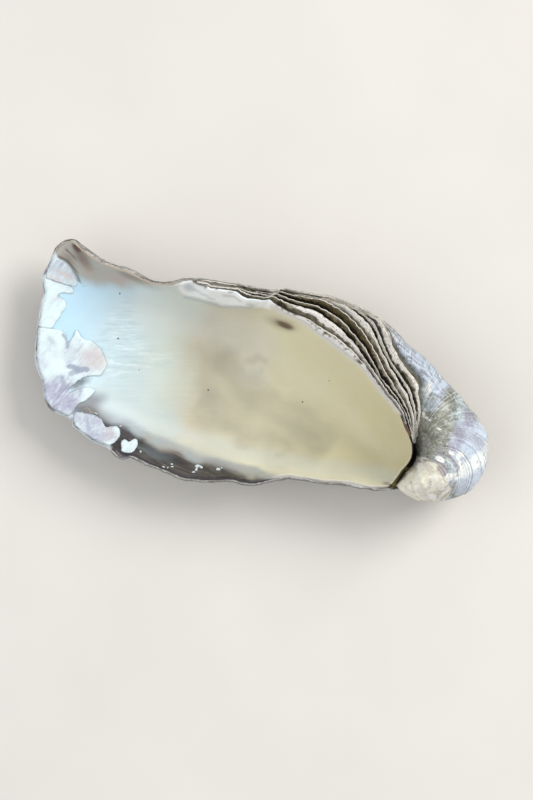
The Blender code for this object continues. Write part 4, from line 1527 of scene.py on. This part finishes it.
class GrowTree(Wiring):
    """Starts a geometry tree with its geometry and named inputs."""

    def __init__(self, name: str, **sizes: object) -> None:
        """Make the sockets.

        Args:
            name: Name of the tree.
            sizes: Default value of each input, or the word Object.
        """
        super().__init__(bpy.data.node_groups.new(name, "GeometryNodeTree"))
        face = self.tree.interface
        face.new_socket("Geometry", in_out="OUTPUT", socket_type="NodeSocketGeometry")
        for label, value in {"Geometry": "Geometry", **sizes, "Material": "Material"}.items():
            kind = value if isinstance(value, str) else "Vector" if isinstance(value, tuple) else "Float"
            socket = face.new_socket(label, in_out="INPUT", socket_type="NodeSocket" + kind)
            if value != kind:
                socket.default_value = value
        self.given = self.add("NodeGroupInput").outputs
        self.place = self.add("GeometryNodeInputPosition").outputs[0]

    def geo(self, kind: str, inputs: dict | None = None, **settings: object) -> object:
        """Add a geometry node and give its first output."""
        return self.add("GeometryNode" + kind, inputs, **settings).outputs[0]

    def read(self, name: str, kind: str = "FLOAT") -> object:
        """Read a named value of the geometry."""
        return self.add("GeometryNodeInputNamedAttribute", {"Name": name}, data_type=kind).outputs["Attribute"]

    def keep(self, geometry: object, name: str, value: object) -> object:
        """Store a value under a name."""
        return self.geo("StoreNamedAttribute", {"Geometry": geometry, "Name": name, "Value": value})

    def put(self, geometry: object, **inputs: object) -> object:
        """Move points to a position or by an offset."""
        return self.geo("SetPosition", {"Geometry": geometry, **inputs})

    def shape(self, name: str) -> object:
        """Read the geometry of an object that is given by the name of its input."""
        return self.add("GeometryNodeObjectInfo", {"Object": self.given[name]}).outputs["Geometry"]

    def drop(self, target: object) -> bpy.types.Node:
        """Look down on a target from high above every point.

        Args:
            target: Socket of the target.

        Returns:
            The node, with its hits.
        """
        return self.add("GeometryNodeRaycast", {
            "Target Geometry": target, "Source Position": self.vector_math("ADD", self.place, (0, 0, LOOKOUT)),
            "Ray Direction": (0, 0, -1), "Ray Length": 1,
        })

    def cloud(self, vector: object, size: float, seed: float) -> object:
        """Give random values around zero, with lumps of a size in millimetres.

        Args:
            vector: Places to read.
            size: Size of the lumps.
            seed: How far along the places are shifted.

        Returns:
            Socket of the values.
        """
        moved = self.vector_math("ADD", vector, (seed, 0, 0))
        inputs = {"Vector": moved, "Scale": PER_METRE / size, "Detail": 2}
        return self.centred(self.add("ShaderNodeTexNoise", inputs).outputs["Fac"])

    def end(self, mesh: object) -> bpy.types.NodeTree:
        """Smooth, realize and dress the result, and close the tree.

        Args:
            mesh: Socket of the finished geometry.

        Returns:
            The tree.
        """
        plain = self.geo("RealizeInstances", {"Geometry": self.geo("SetShadeSmooth", {"Geometry": mesh})})
        dressed = self.geo("SetMaterial", {"Geometry": plain, "Material": self.given["Material"]})
        self.add("NodeGroupOutput", {"Geometry": dressed})
        return self.tree


@dataclass(frozen=True)
class Plate:
    """One thin growth layer: where it runs, between which shares of the band, and how pale it is along its run."""

    first: float
    last: float
    # The lip lies at this ledge; None stands for the edge of the band.
    ledge: int | None
    # How far from the ledge before to its own the lip lies.
    part: float
    # Plan place along the valve, and the tone there: 0 olive-brown, 0.6 stone, 1 pale.
    tones: tuple[tuple[float, float], ...]
    lift: float = 0.28
    # How much painted shadow its tread gets near its root; 0 also keeps the root from going under the layer before
    # and halves the lip's overhang.
    dark: float = 1.0
    lip_width: float = 0.26
    thickness: float = 1.0


PLATES = (
    Plate(13.2, 21.6, 0, 1, ((0, 1), (40, 0.95)), 0.16, 0, 0.35),
    Plate(6.6, 24.6, 1, 1, ((-23, 0.9), (-15, 0.2), (0, 0.05), (5, 0.8), (10, 1.05), (32, 1)), 0.3, 0.6, 0.22),
    Plate(8.5, 27, 2, 1, ((-5, 0.25), (10, 0.1), (20, 0.15), (30, 0.45), (38, 0.6)), 0.26, 1, 0.22),
    Plate(9.5, 27.2, 3, 1, ((-5, 0.25), (8, 0), (24, 0), (30, 0.45), (38, 0.65)), 0.22, 1, 0.16),
    Plate(11.5, 27.2, 4, 1, ((-5, 1.3), (22, 1.2), (26, 0.55), (38, 0.6)), 0.28, 0.5, 0.45),
    Plate(13, 27.2, 5, 1, ((0, 1.3), (24, 1.3), (30, 0.65), (40, 0.65)), 0.3, 1, 0.45),
    Plate(14.5, 26.6, 6, 1, ((5, 1.4), (28, 1.3), (36, 0.75), (42, 0.6)), 0.3, 0.9, 0.5),
    Plate(6.8, 18.2, None, 1, ((-20, 1), (0, 1.4), (30, 1.5)), 0.1, 0.3, 0.8, 1.6),
    Plate(14.6, 20.2, 1, 0.46, ((5, 0.85), (24, 0.75)), 0.18, 0.25, 0.22, 0.6),
    Plate(17, 23.4, 2, 0.55, ((5, 0.3), (34, 0.6)), 0.22, 0.7, 0.16, 0.6),
    Plate(16.4, 22.2, 4, 0.5, ((5, 0.6), (34, 0.6)), 0.2, 0.4, 0.18, 0.6),
    Plate(17.6, 24.6, 6, 0.55, ((20, 0.85), (42, 0.6)), 0.22, 0.6, 0.22, 0.7),
    Plate(12.4, 19, None, 0.45, ((0, 1.3), (30, 1.5)), 0.2, 0.5, 0.6, 1),
    Plate(19.4, 26, 6, 0.25, ((20, 0.7), (42, 0.6)), 0.16, 0.6, 0.18, 0.6),
)


@dataclass
class GrowthLayers:
    """Thin layers that stand over each other along the back edge."""

    form: ValveForm
    thickness: float = 0.28
    overhang: float = 0.32
    ragged: float = 1.0
    flutter: float = 0.35
    taper_in: float = 0.22
    taper_out: float = 0.12
    chance_step: float = 0.013
    under: float = 0.45
    profile_top: tuple[float, ...] = (0.0, 0.15, 0.3, 0.45, 0.58, 0.7, 0.8, 0.88, 0.94, 0.98)

    def lips(self, ledge: int | None) -> tuple[Array, Array, Array]:
        """Find where a ledge ends.

        Args:
            ledge: Number of the ledge, -1 for the crest or None for the edge of the band.

        Returns:
            Its share of the band and the heights above and below its drop.
        """
        form = self.form
        if ledge is None:
            return np.ones(form.count), form.band_height + 0.2, form.band_height
        if ledge < 0:
            return np.zeros(form.count), form.crest_height, form.crest_height - 0.35
        share = form.ledge_places[:, ledge]
        upper, lower = form.ledge_heights(ledge, share)
        return share, upper, lower

    def paths(self, plates: tuple[Plate, ...]) -> Thing:
        """Lay out the lips of the layers as loose chains of edges.

        Args:
            plates: The layers.

        Returns:
            The chains, whose vertices carry the sizes of the layers.
        """
        form = self.form
        edges, rows = [], {}
        start = 0
        for number, plate in enumerate(plates):
            index = np.where((form.places >= plate.first) & (form.places <= plate.last))[0]
            end, upper, _ = self.lips(plate.ledge)
            begin, _, lower = self.lips(LEDGES - 1 if plate.ledge is None else plate.ledge - 1)
            share = begin + (end - begin) * plate.part
            height = (lower + (upper - lower) * plate.part + plate.lift)[index]
            root_height = (lower + 0.5 * plate.lift)[index]
            lip = mix(form.crest, form.band_edge, share)[index]
            root = mix(form.crest, form.band_edge, begin)[index]
            along = np.linspace(0, 1, len(index))
            taper = np.clip(np.minimum(along / self.taper_in, (1 - along) / self.taper_out), 0, 1) ** 0.7
            tangent = np.gradient(lip, axis=0)
            tangent /= np.maximum(np.linalg.norm(tangent, axis=1), 1e-9)[:, None]
            out = np.stack([-tangent[:, 1], tangent[:, 0]], axis=1)
            hidden = self.under if plate.dark else 0
            width = np.maximum(((lip - root) * out).sum(axis=1), 0.3) + hidden
            past = self.overhang * taper if plate.dark else 0.5 * self.overhang * taper
            places, tones = zip(*plate.tones)
            for name, values in {
                "lip": to_metres(lip + out * past[:, None], height),
                "out": np.column_stack([out, np.zeros(len(out))]),
                "width": (width + past) * MM,
                "rise": (height - root_height) * MM,
                "tone": np.interp(lip[:, 0], places, tones),
                "taper": taper,
                "hidden": hidden + (self.overhang if hidden else 0),
                "dark": plate.dark,
                "lip_width": plate.lip_width,
                "heft": plate.thickness,
                "chance": self.chance_step * number,
            }.items():
                rows.setdefault(name, []).append(values if np.ndim(values) else np.full(len(index), values))
            edges += [(start + k, start + k + 1) for k in range(len(index) - 1)]
            start += len(index)
        chains = write_mesh("layer_paths", np.vstack(rows["lip"]), [], edges)
        for name, values in rows.items():
            store(chains.data, name, np.concatenate(values))
        return chains

    def profile(self) -> Thing:
        """Make the closed cross-section of a layer, from its root to its lip and back underneath.

        Returns:
            Its object, a loop of edges.
        """
        top = [(share, 0) for share in self.profile_top]
        lip = [(0.995, -0.16), (1, -0.5), (0.992, -0.84)]
        below = [(share, -1) for share in reversed(self.profile_top[::3])]
        loop = top + lip + below
        points = np.array([(share, depth, 0) for share, depth in loop])
        edges = [(k, (k + 1) % len(loop)) for k in range(len(loop))]
        section = write_mesh("layer_profile", points, [], edges)
        store(section.data, "across", points[:, 0])
        store(section.data, "depth", points[:, 1])
        return section

    def tree(self) -> bpy.types.NodeTree:
        """Make the geometry tree that sweeps the cross-section along the paths and breaks the lips.

        Returns:
            The tree.
        """
        grow = GrowTree(
            "growth_layers", Profile="Object", Thickness=0.0004, Ragged=0.0008, Flutter=0.0004, Seed=0.3)
        chain = grow.geo("MeshToCurve", {"Mesh": grow.given["Geometry"]})
        section = grow.geo("MeshToCurve", {"Mesh": grow.shape("Profile")})
        swept = grow.geo("CurveToMesh", {"Curve": chain, "Profile Curve": section, "Fill Caps": True})
        across, width, taper = grow.read("across"), grow.read("width"), grow.read("taper")
        lip, out = grow.read("lip", "FLOAT_VECTOR"), grow.read("out", "FLOAT_VECTOR")
        shifted = grow.vector_math("ADD", lip, grow.combine(X=grow.given["Seed"], Y=grow.read("chance")))
        torn = grow.plus(grow.cloud(shifted, 6, 0.1), grow.times(grow.cloud(shifted, 1.1, 0.2), 0.55))
        torn = grow.times(grow.times(torn, grow.given["Ragged"]), grow.times(grow.math("POWER", across, 2), taper))
        inward = grow.times(grow.math("SUBTRACT", across, 1), width)
        sideways = grow.scaled(out, grow.plus(inward, torn))
        rise = grow.times(grow.math("SUBTRACT", across, 1), grow.read("rise"))
        full = grow.times(grow.given["Thickness"], grow.plus(grow.times(taper, 0.8), 0.2))
        thick = grow.times(grow.times(grow.read("depth"), grow.read("heft")), full)
        waved = grow.times(grow.times(grow.cloud(shifted, 3, 0.3), across), grow.times(grow.given["Flutter"], taper))
        up = grow.plus(grow.plus(rise, thick), waved)
        spot = grow.vector_math("ADD", grow.vector_math("ADD", lip, sideways), grow.combine(Z=up))
        placed = grow.put(swept, Position=spot)
        placed = grow.keep(placed, "from_lip", grow.times(inward, -PER_METRE))
        from_root = grow.times(grow.times(across, width), PER_METRE)
        return grow.end(grow.keep(placed, "from_gap", grow.math("SUBTRACT", from_root, grow.read("hidden"))))

    def build(self, plates: tuple[Plate, ...], name: str, material: bpy.types.Material) -> Thing:
        """Grow the layers and dress them.

        Args:
            plates: The layers to grow.
            name: Name of the piece.
            material: Its finish.

        Returns:
            The piece.
        """
        section = self.profile()
        layers = bake_nodes(self.paths(plates), self.tree(), {
            "Profile": section, "Thickness": self.thickness * MM, "Ragged": self.ragged * MM,
            "Flutter": self.flutter * MM, "Seed": 0.3, "Material": material,
        }, name)
        bpy.data.objects.remove(section, do_unlink=True)
        return layers


@dataclass(frozen=True)
class Flake:
    """One patch of chalky shell, by its outline on the plan and its thickness."""

    outline: tuple[tuple[float, float], ...]
    thickness: float


FLAKES = (
    Flake(((-60.7, 14), (-58.2, 13.6), (-56.5, 13), (-54.6, 11.7), (-53.2, 10.2), (-52.2, 8.6), (-52.6, 7.6),
        (-55, 7.3), (-57.5, 7.6), (-61.2, 7.9), (-61.1, 9.6), (-60.8, 11), (-60.8, 12.4)), 0.34),
    Flake(((-61.5, 8), (-58.6, 7.8), (-55.8, 7.5), (-53, 7.5), (-52.7, 6.2), (-53.4, 5.6), (-55.4, 5.2), (-56.6, 4.6),
        (-54.6, 4), (-53.6, 3), (-53.4, 1.8), (-54.2, 0.2), (-54.2, -1.2), (-55.2, -2.6), (-55.4, -4.6),
        (-57.2, -4.9), (-59.3, -4.9), (-59.5, -2), (-60.1, 0.6), (-60.1, 4), (-60.9, 5.8)), 0.45),
    Flake(((-59.3, -4.6), (-57, -4.6), (-54.6, -4.2), (-52.6, -3.9), (-51.6, -4.6), (-51.3, -6.4), (-50.4, -6.6),
        (-50, -4.4), (-49.8, -2.6), (-48.8, -3), (-47.4, -4.6), (-45, -4.5), (-42.6, -5.6), (-40.6, -7.4),
        (-39.2, -9.4), (-39.6, -12.2), (-40.4, -13.3), (-42.6, -13.4), (-44.6, -14.8), (-46.4, -17.4), (-47.4, -19.2),
        (-46.2, -18.6), (-44.6, -17.3), (-42.2, -16.2), (-40.4, -16.4), (-40.2, -17.5), (-41.6, -19.6),
        (-43.6, -21.6), (-44.2, -23.6), (-45.2, -25.3), (-49.9, -24.5), (-52.6, -22.3), (-54.2, -18.3), (-57, -14.5),
        (-58.1, -10.4)), 0.6),
    Flake(((-44, -24), (-43.4, -23.2), (-41, -23.2), (-39, -22.9), (-36.8, -23.4), (-35.4, -25.2), (-34, -24.6),
        (-32.2, -24.1), (-31.2, -24.6), (-30.8, -26.6), (-31.6, -28.6), (-33.2, -29.8), (-37.9, -29.2),
        (-42.8, -27.4), (-43.8, -25.8)), 0.55),
    Flake(((-30.3, -27.2), (-29.6, -26.6), (-28.4, -27.2), (-26.9, -25.7), (-26, -26.5), (-25.7, -27.8),
        (-26.2, -29.4), (-27.8, -30.3), (-29.2, -30.4), (-30, -29)), 0.5),
)

# Tints of the patches, in the same way.
CHALK_MARKS = {
    "lilac_share": (1, Spot(-57, 10.8, 5.4, 3, -10, 0.45), Spot(-48.6, -20.8, 6, 4.6, -20, 1, 0.4),
        Spot(-37.6, -26.2, 6.4, 3.4, -14, 0.75), Spot(-45.6, -9.4, 5, 3.2, 0, 0.4, 0.7),
        Spot(-56.4, -12, 2.4, 4.4, 0, 0.35, 0.7)),
    "rosy_share": (0.6, Spot(-42.6, -8.8, 3.6, 3, 0, 0.75, 0.7), Streak(((-57.8, 9.9), (-54.4, 9.7)), 0.5, 0.5, 0.8),
        Streak(((-60, 8.2), (-57.2, 8.3)), 0.3, 0.4, 0.8), Spot(-33.6, -26.6, 1.8, 1.6, 0, 0.5, 0.7)),
    # Blue-grey tint, mostly painted shade in the cracks and notches of the patches.
    "blue_share": (0.35, Streak(((-48.4, -12.8), (-46, -12.9), (-44.2, -12.2)), 0.9, 0.5, 0.9),
        Streak(((-47.6, -14.6), (-46.4, -13.4)), 0.7, 0.6, 0.7),
        Streak(((-52.2, -5.2), (-51, -6.4), (-50.6, -8)), 0.5, 0.5, 0.8), Spot(-55, 4.4, 1.6, 0.5, 10, 0.8),
        Streak(((-49.6, -16), (-47.6, -18.6)), 0.4, 0.6, 0.6), Spot(-54.8, -7.6, 1.6, 0.7, -30, 0.4, 0.7),
        Streak(((-40.4, -24.4), (-38.8, -27.2)), 0.3, 0.5, 0.6)),
}


@dataclass
class ChalkLayers:
    """The patches of chalky shell that lie on the far and front margins."""

    form: ValveForm
    spacing: float = 0.3
    rounding: float = 0.42
    sink: float = 0.12
    tatter: float = 0.16
    rim_height: float = 12.5
    weld: float = 0.02
    outline_step: float = 0.22
    outline_easing: int = 8
    grid_margin: float = 1.0

    def outline(self, flake: Flake) -> Array:
        """Round and tatter the outline of a patch.

        Args:
            flake: The patch.

        Returns:
            Plan places, closely spaced.
        """
        corners = np.array(flake.outline)
        steps = np.linalg.norm(np.roll(corners, -1, 0) - corners, axis=1)
        run = np.concatenate([[0], np.cumsum(steps)])
        count = max(12, int(run[-1] / self.outline_step))
        along = np.linspace(0, run[-1], count, endpoint=False)
        closed = np.vstack([corners, corners[:1]])
        row = np.stack([np.interp(along, run, closed[:, axis]) for axis in (0, 1)], axis=1)
        row = relax(row, self.outline_easing)
        spots = np.column_stack([row, np.zeros(len(row))])
        shift = np.stack([grain(spots, 1.5, 41, 3), grain(spots, 1.5, 42, 3)], axis=1)
        return row + self.tatter * shift

    def tree(self) -> bpy.types.NodeTree:
        """Make the geometry tree that lays a fine sheet inside an outline and rounds its edge.

        Returns:
            The tree.
        """
        grow = GrowTree(
            "chalk_patch", Body="Object", Middle=(0, 0, 0), Length=0.01, Width=0.01, Spacing=0.0003,
            Thickness=0.0005, Rounding=0.0004, Sink=0.0001)
        given = grow.given
        cover = grow.geo("FillCurve", {"Curve": grow.geo("MeshToCurve", {"Mesh": given["Geometry"]})})
        counts = [
            grow.plus(grow.math("DIVIDE", given[side], given["Spacing"]), 3) for side in ("Length", "Width")
        ]
        sheet = grow.geo("MeshGrid", {
            "Size X": given["Length"], "Size Y": given["Width"], "Vertices X": counts[0], "Vertices Y": counts[1],
        })
        sheet = grow.put(sheet, Offset=given["Middle"])
        hit = grow.drop(cover).outputs["Is Hit"]
        near = grow.add("GeometryNodeProximity", {0: given["Geometry"], "Source Position": grow.place},
                        target_element="EDGES")
        close = grow.math("LESS_THAN", near.outputs["Distance"], grow.times(given["Spacing"], 0.45))
        kept = grow.add("FunctionNodeBooleanMath", {0: hit, 1: close}, operation="OR").outputs[0]
        left = grow.add("FunctionNodeBooleanMath", {0: kept}, operation="NOT").outputs[0]
        sheet = grow.geo("DeleteGeometry", {"Geometry": sheet, "Selection": left})
        neighbours = grow.geo("InputMeshEdgeNeighbors")
        rim = grow.add("FunctionNodeCompare", {2: neighbours, 3: 1}, data_type="INT", operation="EQUAL").outputs[0]
        sheet = grow.put(sheet, Selection=rim, Position=near.outputs["Position"])
        sheet = grow.keep(sheet, "from_edge", grow.times(near.outputs["Distance"], PER_METRE))
        body = grow.shape("Body")
        ground = grow.drop(body)
        part = grow.math("DIVIDE", grow.read("from_edge"), grow.times(given["Rounding"], PER_METRE), True)
        left_over = grow.math("SUBTRACT", 1, part)
        dome = grow.math("SQRT", grow.math("SUBTRACT", 1, grow.times(left_over, left_over)))
        uneven = grow.plus(1, grow.times(grow.cloud(grow.place, 4, 0.5), 1.1))
        full = grow.plus(grow.times(given["Thickness"], uneven), given["Sink"])
        rise = grow.math("SUBTRACT", grow.times(dome, full), given["Sink"])
        sunk = grow.scaled((0, 0, -1), given["Sink"])
        level = grow.vector_math("ADD", grow.place, (0, 0, self.rim_height * MM))
        beside = grow.add("GeometryNodeProximity", {0: body, "Source Position": level}, target_element="FACES")
        floor = grow.geo("Switch", {
            "Switch": ground.outputs["Is Hit"], "False": beside.outputs["Position"],
            "True": ground.outputs["Hit Position"],
        }, input_type="VECTOR")
        top = grow.put(sheet, Position=grow.vector_math("ADD", floor, grow.combine(Z=rise)))
        base = grow.put(sheet, Position=grow.vector_math("ADD", floor, sunk))
        both = grow.add("GeometryNodeJoinGeometry")
        for half in (grow.geo("FlipFaces", {"Mesh": base}), top):
            grow.tree.links.new(half, both.inputs[0])
        return grow.end(grow.geo("MergeByDistance", {"Geometry": both.outputs[0], "Distance": self.weld * MM}))

    def build(self, body: Thing, material: bpy.types.Material) -> Thing:
        """Lay every patch on the body and join them.

        Args:
            body: The valve's body.
            material: The chalk finish.

        Returns:
            The piece.
        """
        tree = self.tree()
        patches = []
        for number, flake in enumerate(FLAKES):
            row = to_metres(self.outline(flake), 0)
            edges = [(k, (k + 1) % len(row)) for k in range(len(row))]
            chain = write_mesh("patch_outline", row, [], edges)
            low, high = row.min(0), row.max(0)
            patch = bake_nodes(chain, tree, {
                "Body": body, "Middle": tuple(0.5 * (low + high)),
                "Length": float(high[0] - low[0]) + self.grid_margin * MM,
                "Width": float(high[1] - low[1]) + self.grid_margin * MM, "Spacing": self.spacing * MM,
                "Thickness": flake.thickness * MM, "Rounding": self.rounding * MM, "Sink": self.sink * MM,
                "Material": material,
            }, f"patch_{number}")
            patches.append(patch)
        whole = join("chalk_patches", patches)
        places = np.zeros(3 * len(whole.data.vertices))
        whole.data.vertices.foreach_get("co", places)
        points = places.reshape(-1, 3) / MM + np.array([*PLAN_MIDDLE, 0])
        drift = np.stack([grain(points, 2.5, 43, 3), grain(points, 2.5, 44, 3)], axis=1)
        for name, (wander, *marks) in CHALK_MARKS.items():
            store(whole.data, name, covered(marks, points[:, :2] + wander * drift))
        return whole


def join(name: str, things: list[Thing]) -> Thing:
    """Join mesh objects into one.

    Args:
        name: Name of the result.
        things: The objects, which end up in the first.

    Returns:
        The joined object.
    """
    with bpy.context.temp_override(active_object=things[0], object=things[0], selected_editable_objects=things,
                                   selected_objects=things):
        bpy.ops.object.join()
    things[0].name = name
    things[0].data.name = name
    return things[0]


@dataclass
class Chips:
    """Small white flecks of shell on the dark margin."""

    # Place on the plan, length, width and turn in degrees.
    flecks: tuple[tuple[float, float, float, float, float], ...] = (
        (-9.3, -28.5, 0.75, 0.5, 20), (-8.3, -28.5, 0.6, 0.4, -30), (-9.4, -29.5, 0.85, 0.32, 86),
        (-3.9, -27.8, 0.62, 0.5, 10), (-15.9, -29.8, 0.3, 0.22, 40), (-17.7, -31, 0.35, 0.22, 0),
        (-15.6, -30.4, 0.35, 0.2, 20), (-16.6, -30.9, 0.3, 0.16, 60), (-9.9, -30.2, 0.5, 0.24, 30),
        (-24.6, -28.9, 0.3, 0.24, 0), (-3.2, -27.2, 0.24, 0.2, 0), (-31.6, -24, 0.35, 0.2, 30),
        (-38.6, -22.6, 0.4, 0.22, -10), (-50.6, 8.6, 0.35, 0.2, 20),
    )
    thickness: float = 0.35
    lumpiness: float = 0.35

    def tree(self) -> bpy.types.NodeTree:
        """Make the geometry tree that sets a lumpy fleck on the body at each point.

        Returns:
            The tree.
        """
        grow = GrowTree("shell_chips", Body="Object", Thickness=0.0004)
        ground = grow.drop(grow.shape("Body"))
        points = grow.put(grow.given["Geometry"], Position=ground.outputs["Hit Position"])
        size = grow.combine(X=grow.read("half_length"), Y=grow.read("half_width"), Z=grow.given["Thickness"])
        flecks = grow.geo("InstanceOnPoints", {
            "Points": grow.geo("MeshToPoints", {"Mesh": points}),
            "Instance": grow.geo("MeshIcoSphere", {"Radius": 1, "Subdivisions": 4}),
            "Rotation": grow.combine(Z=grow.read("turn")), "Scale": size,
        })
        whole = grow.geo("RealizeInstances", {"Geometry": flecks})
        lumps = grow.times(grow.cloud(grow.place, 0.5, 0.9), self.lumpiness * MM)
        return grow.end(grow.put(whole, Offset=grow.scaled(grow.geo("InputNormal"), lumps)))

    def build(self, body: Thing, material: bpy.types.Material) -> Thing:
        """Set the flecks on the body.

        Args:
            body: The valve's body.
            material: The chalk finish.

        Returns:
            The piece.
        """
        table = np.array(self.flecks)
        points = write_mesh("fleck_points", to_metres(table[:, :2], 0), [])
        for column, name in ((2, "half_length"), (3, "half_width")):
            store(points.data, name, table[:, column] * MM)
        store(points.data, "turn", np.radians(table[:, 4]))
        values = {"Body": body, "Thickness": self.thickness * MM, "Material": material}
        return bake_nodes(points, self.tree(), values, "shell_chips")


@dataclass
class Studio:
    """Pale floor, soft lights and the camera."""

    floor_half: float = 3.0
    camera_height: float = 1.2
    camera_turn: float = 16.0
    lens: float = 137.0
    middle: tuple[float, float] = (0.00275, -0.00233)

    def floor(self) -> None:
        """Make the pale floor that the valve lies on."""
        half = self.floor_half
        floor = write_mesh("floor", np.array([
            (-half, -half, 0), (half, -half, 0), (half, half, 0), (-half, half, 0)]), [(0, 1, 2, 3)])
        sheet = Palette("floor_paper")
        grains = sheet.noise(60, 3)
        sheet.colour = sheet.ramp(grains, [(0.3, (0.69, 0.67, 0.63)), (0.7, (0.73, 0.71, 0.67))])
        floor.data.materials.append(sheet.finish(0.85))

    def light(self, name: str, place: tuple, size: float, power: float, colour: Colour) -> None:
        """Add a square soft light that faces the valve.

        Args:
            name: Name of the light.
            place: Where it stands.
            size: Side of the square, in metres.
            power: Its power in watts.
            colour: Its colour.
        """
        lamp = bpy.data.lights.new(name, "AREA")
        lamp.shape = "SQUARE"
        lamp.size = size
        lamp.energy = power
        lamp.color = colour
        thing = bpy.data.objects.new(name, lamp)
        thing.location = place
        direction = -np.array(place) / np.linalg.norm(place)
        thing.rotation_euler = (
            math.acos(-direction[2]), 0, math.atan2(direction[1], direction[0]) - 0.5 * math.pi,
        )
        bpy.context.scene.collection.objects.link(thing)

    def build(self) -> None:
        """Set up floor, lights, sky and camera."""
        self.floor()
        self.light("key_light", (0.75, 0.85, 0.95), 0.8, 17, (1, 0.985, 0.955))
        self.light("fill_light", (-0.9, -0.5, 0.9), 1.2, 5, (0.98, 0.985, 1))
        world = bpy.data.worlds.new("studio_sky")
        world.use_nodes = True
        background = world.node_tree.nodes["Background"]
        background.inputs["Color"].default_value = (0.985, 0.985, 1, 1)
        background.inputs["Strength"].default_value = 0.62
        bpy.context.scene.world = world
        bpy.context.scene.view_settings.view_transform = "Standard"
        lens = bpy.data.cameras.new("camera")
        lens.sensor_fit = "VERTICAL"
        lens.sensor_height = 24
        lens.lens = self.lens
        camera = bpy.data.objects.new("camera", lens)
        camera.location = (*self.middle, self.camera_height)
        camera.rotation_euler = (0, 0, math.radians(self.camera_turn))
        bpy.context.scene.collection.objects.link(camera)
        bpy.context.scene.camera = camera


def settle(piece: Thing) -> None:
    """Hang a finished piece under the root body, hide the imported shell, and log its triangles.

    Args:
        piece: The piece.
    """
    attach(piece, "root")
    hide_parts("shell")
    triangles = sum(len(face.vertices) - 2 for face in piece.data.polygons)
    LOG.info("%s: %d triangles", piece.name, triangles)


def main() -> None:
    """Build the valve's pieces in order, then the studio."""
    logging.basicConfig(level=logging.INFO, format="%(name)s %(message)s")
    form = ValveForm()
    body = ValveBody(form).build()
    for finish in (InsideFinish(), BandFinish(), OutsideFinish()):
        body.data.materials.append(finish.material())
    layers = GrowthLayers(form)
    layer_finish = LayerFinish().material()
    back_layers = layers.build(PLATES, "back_layers", layer_finish)
    chalk = ChalkFinish().material()
    patches = ChalkLayers(form).build(body, chalk)
    chips = Chips().build(body, chalk)
    for piece in (body, back_layers, patches, chips):
        settle(piece)
    Studio().build()


if __name__ == "__main__":
    main()
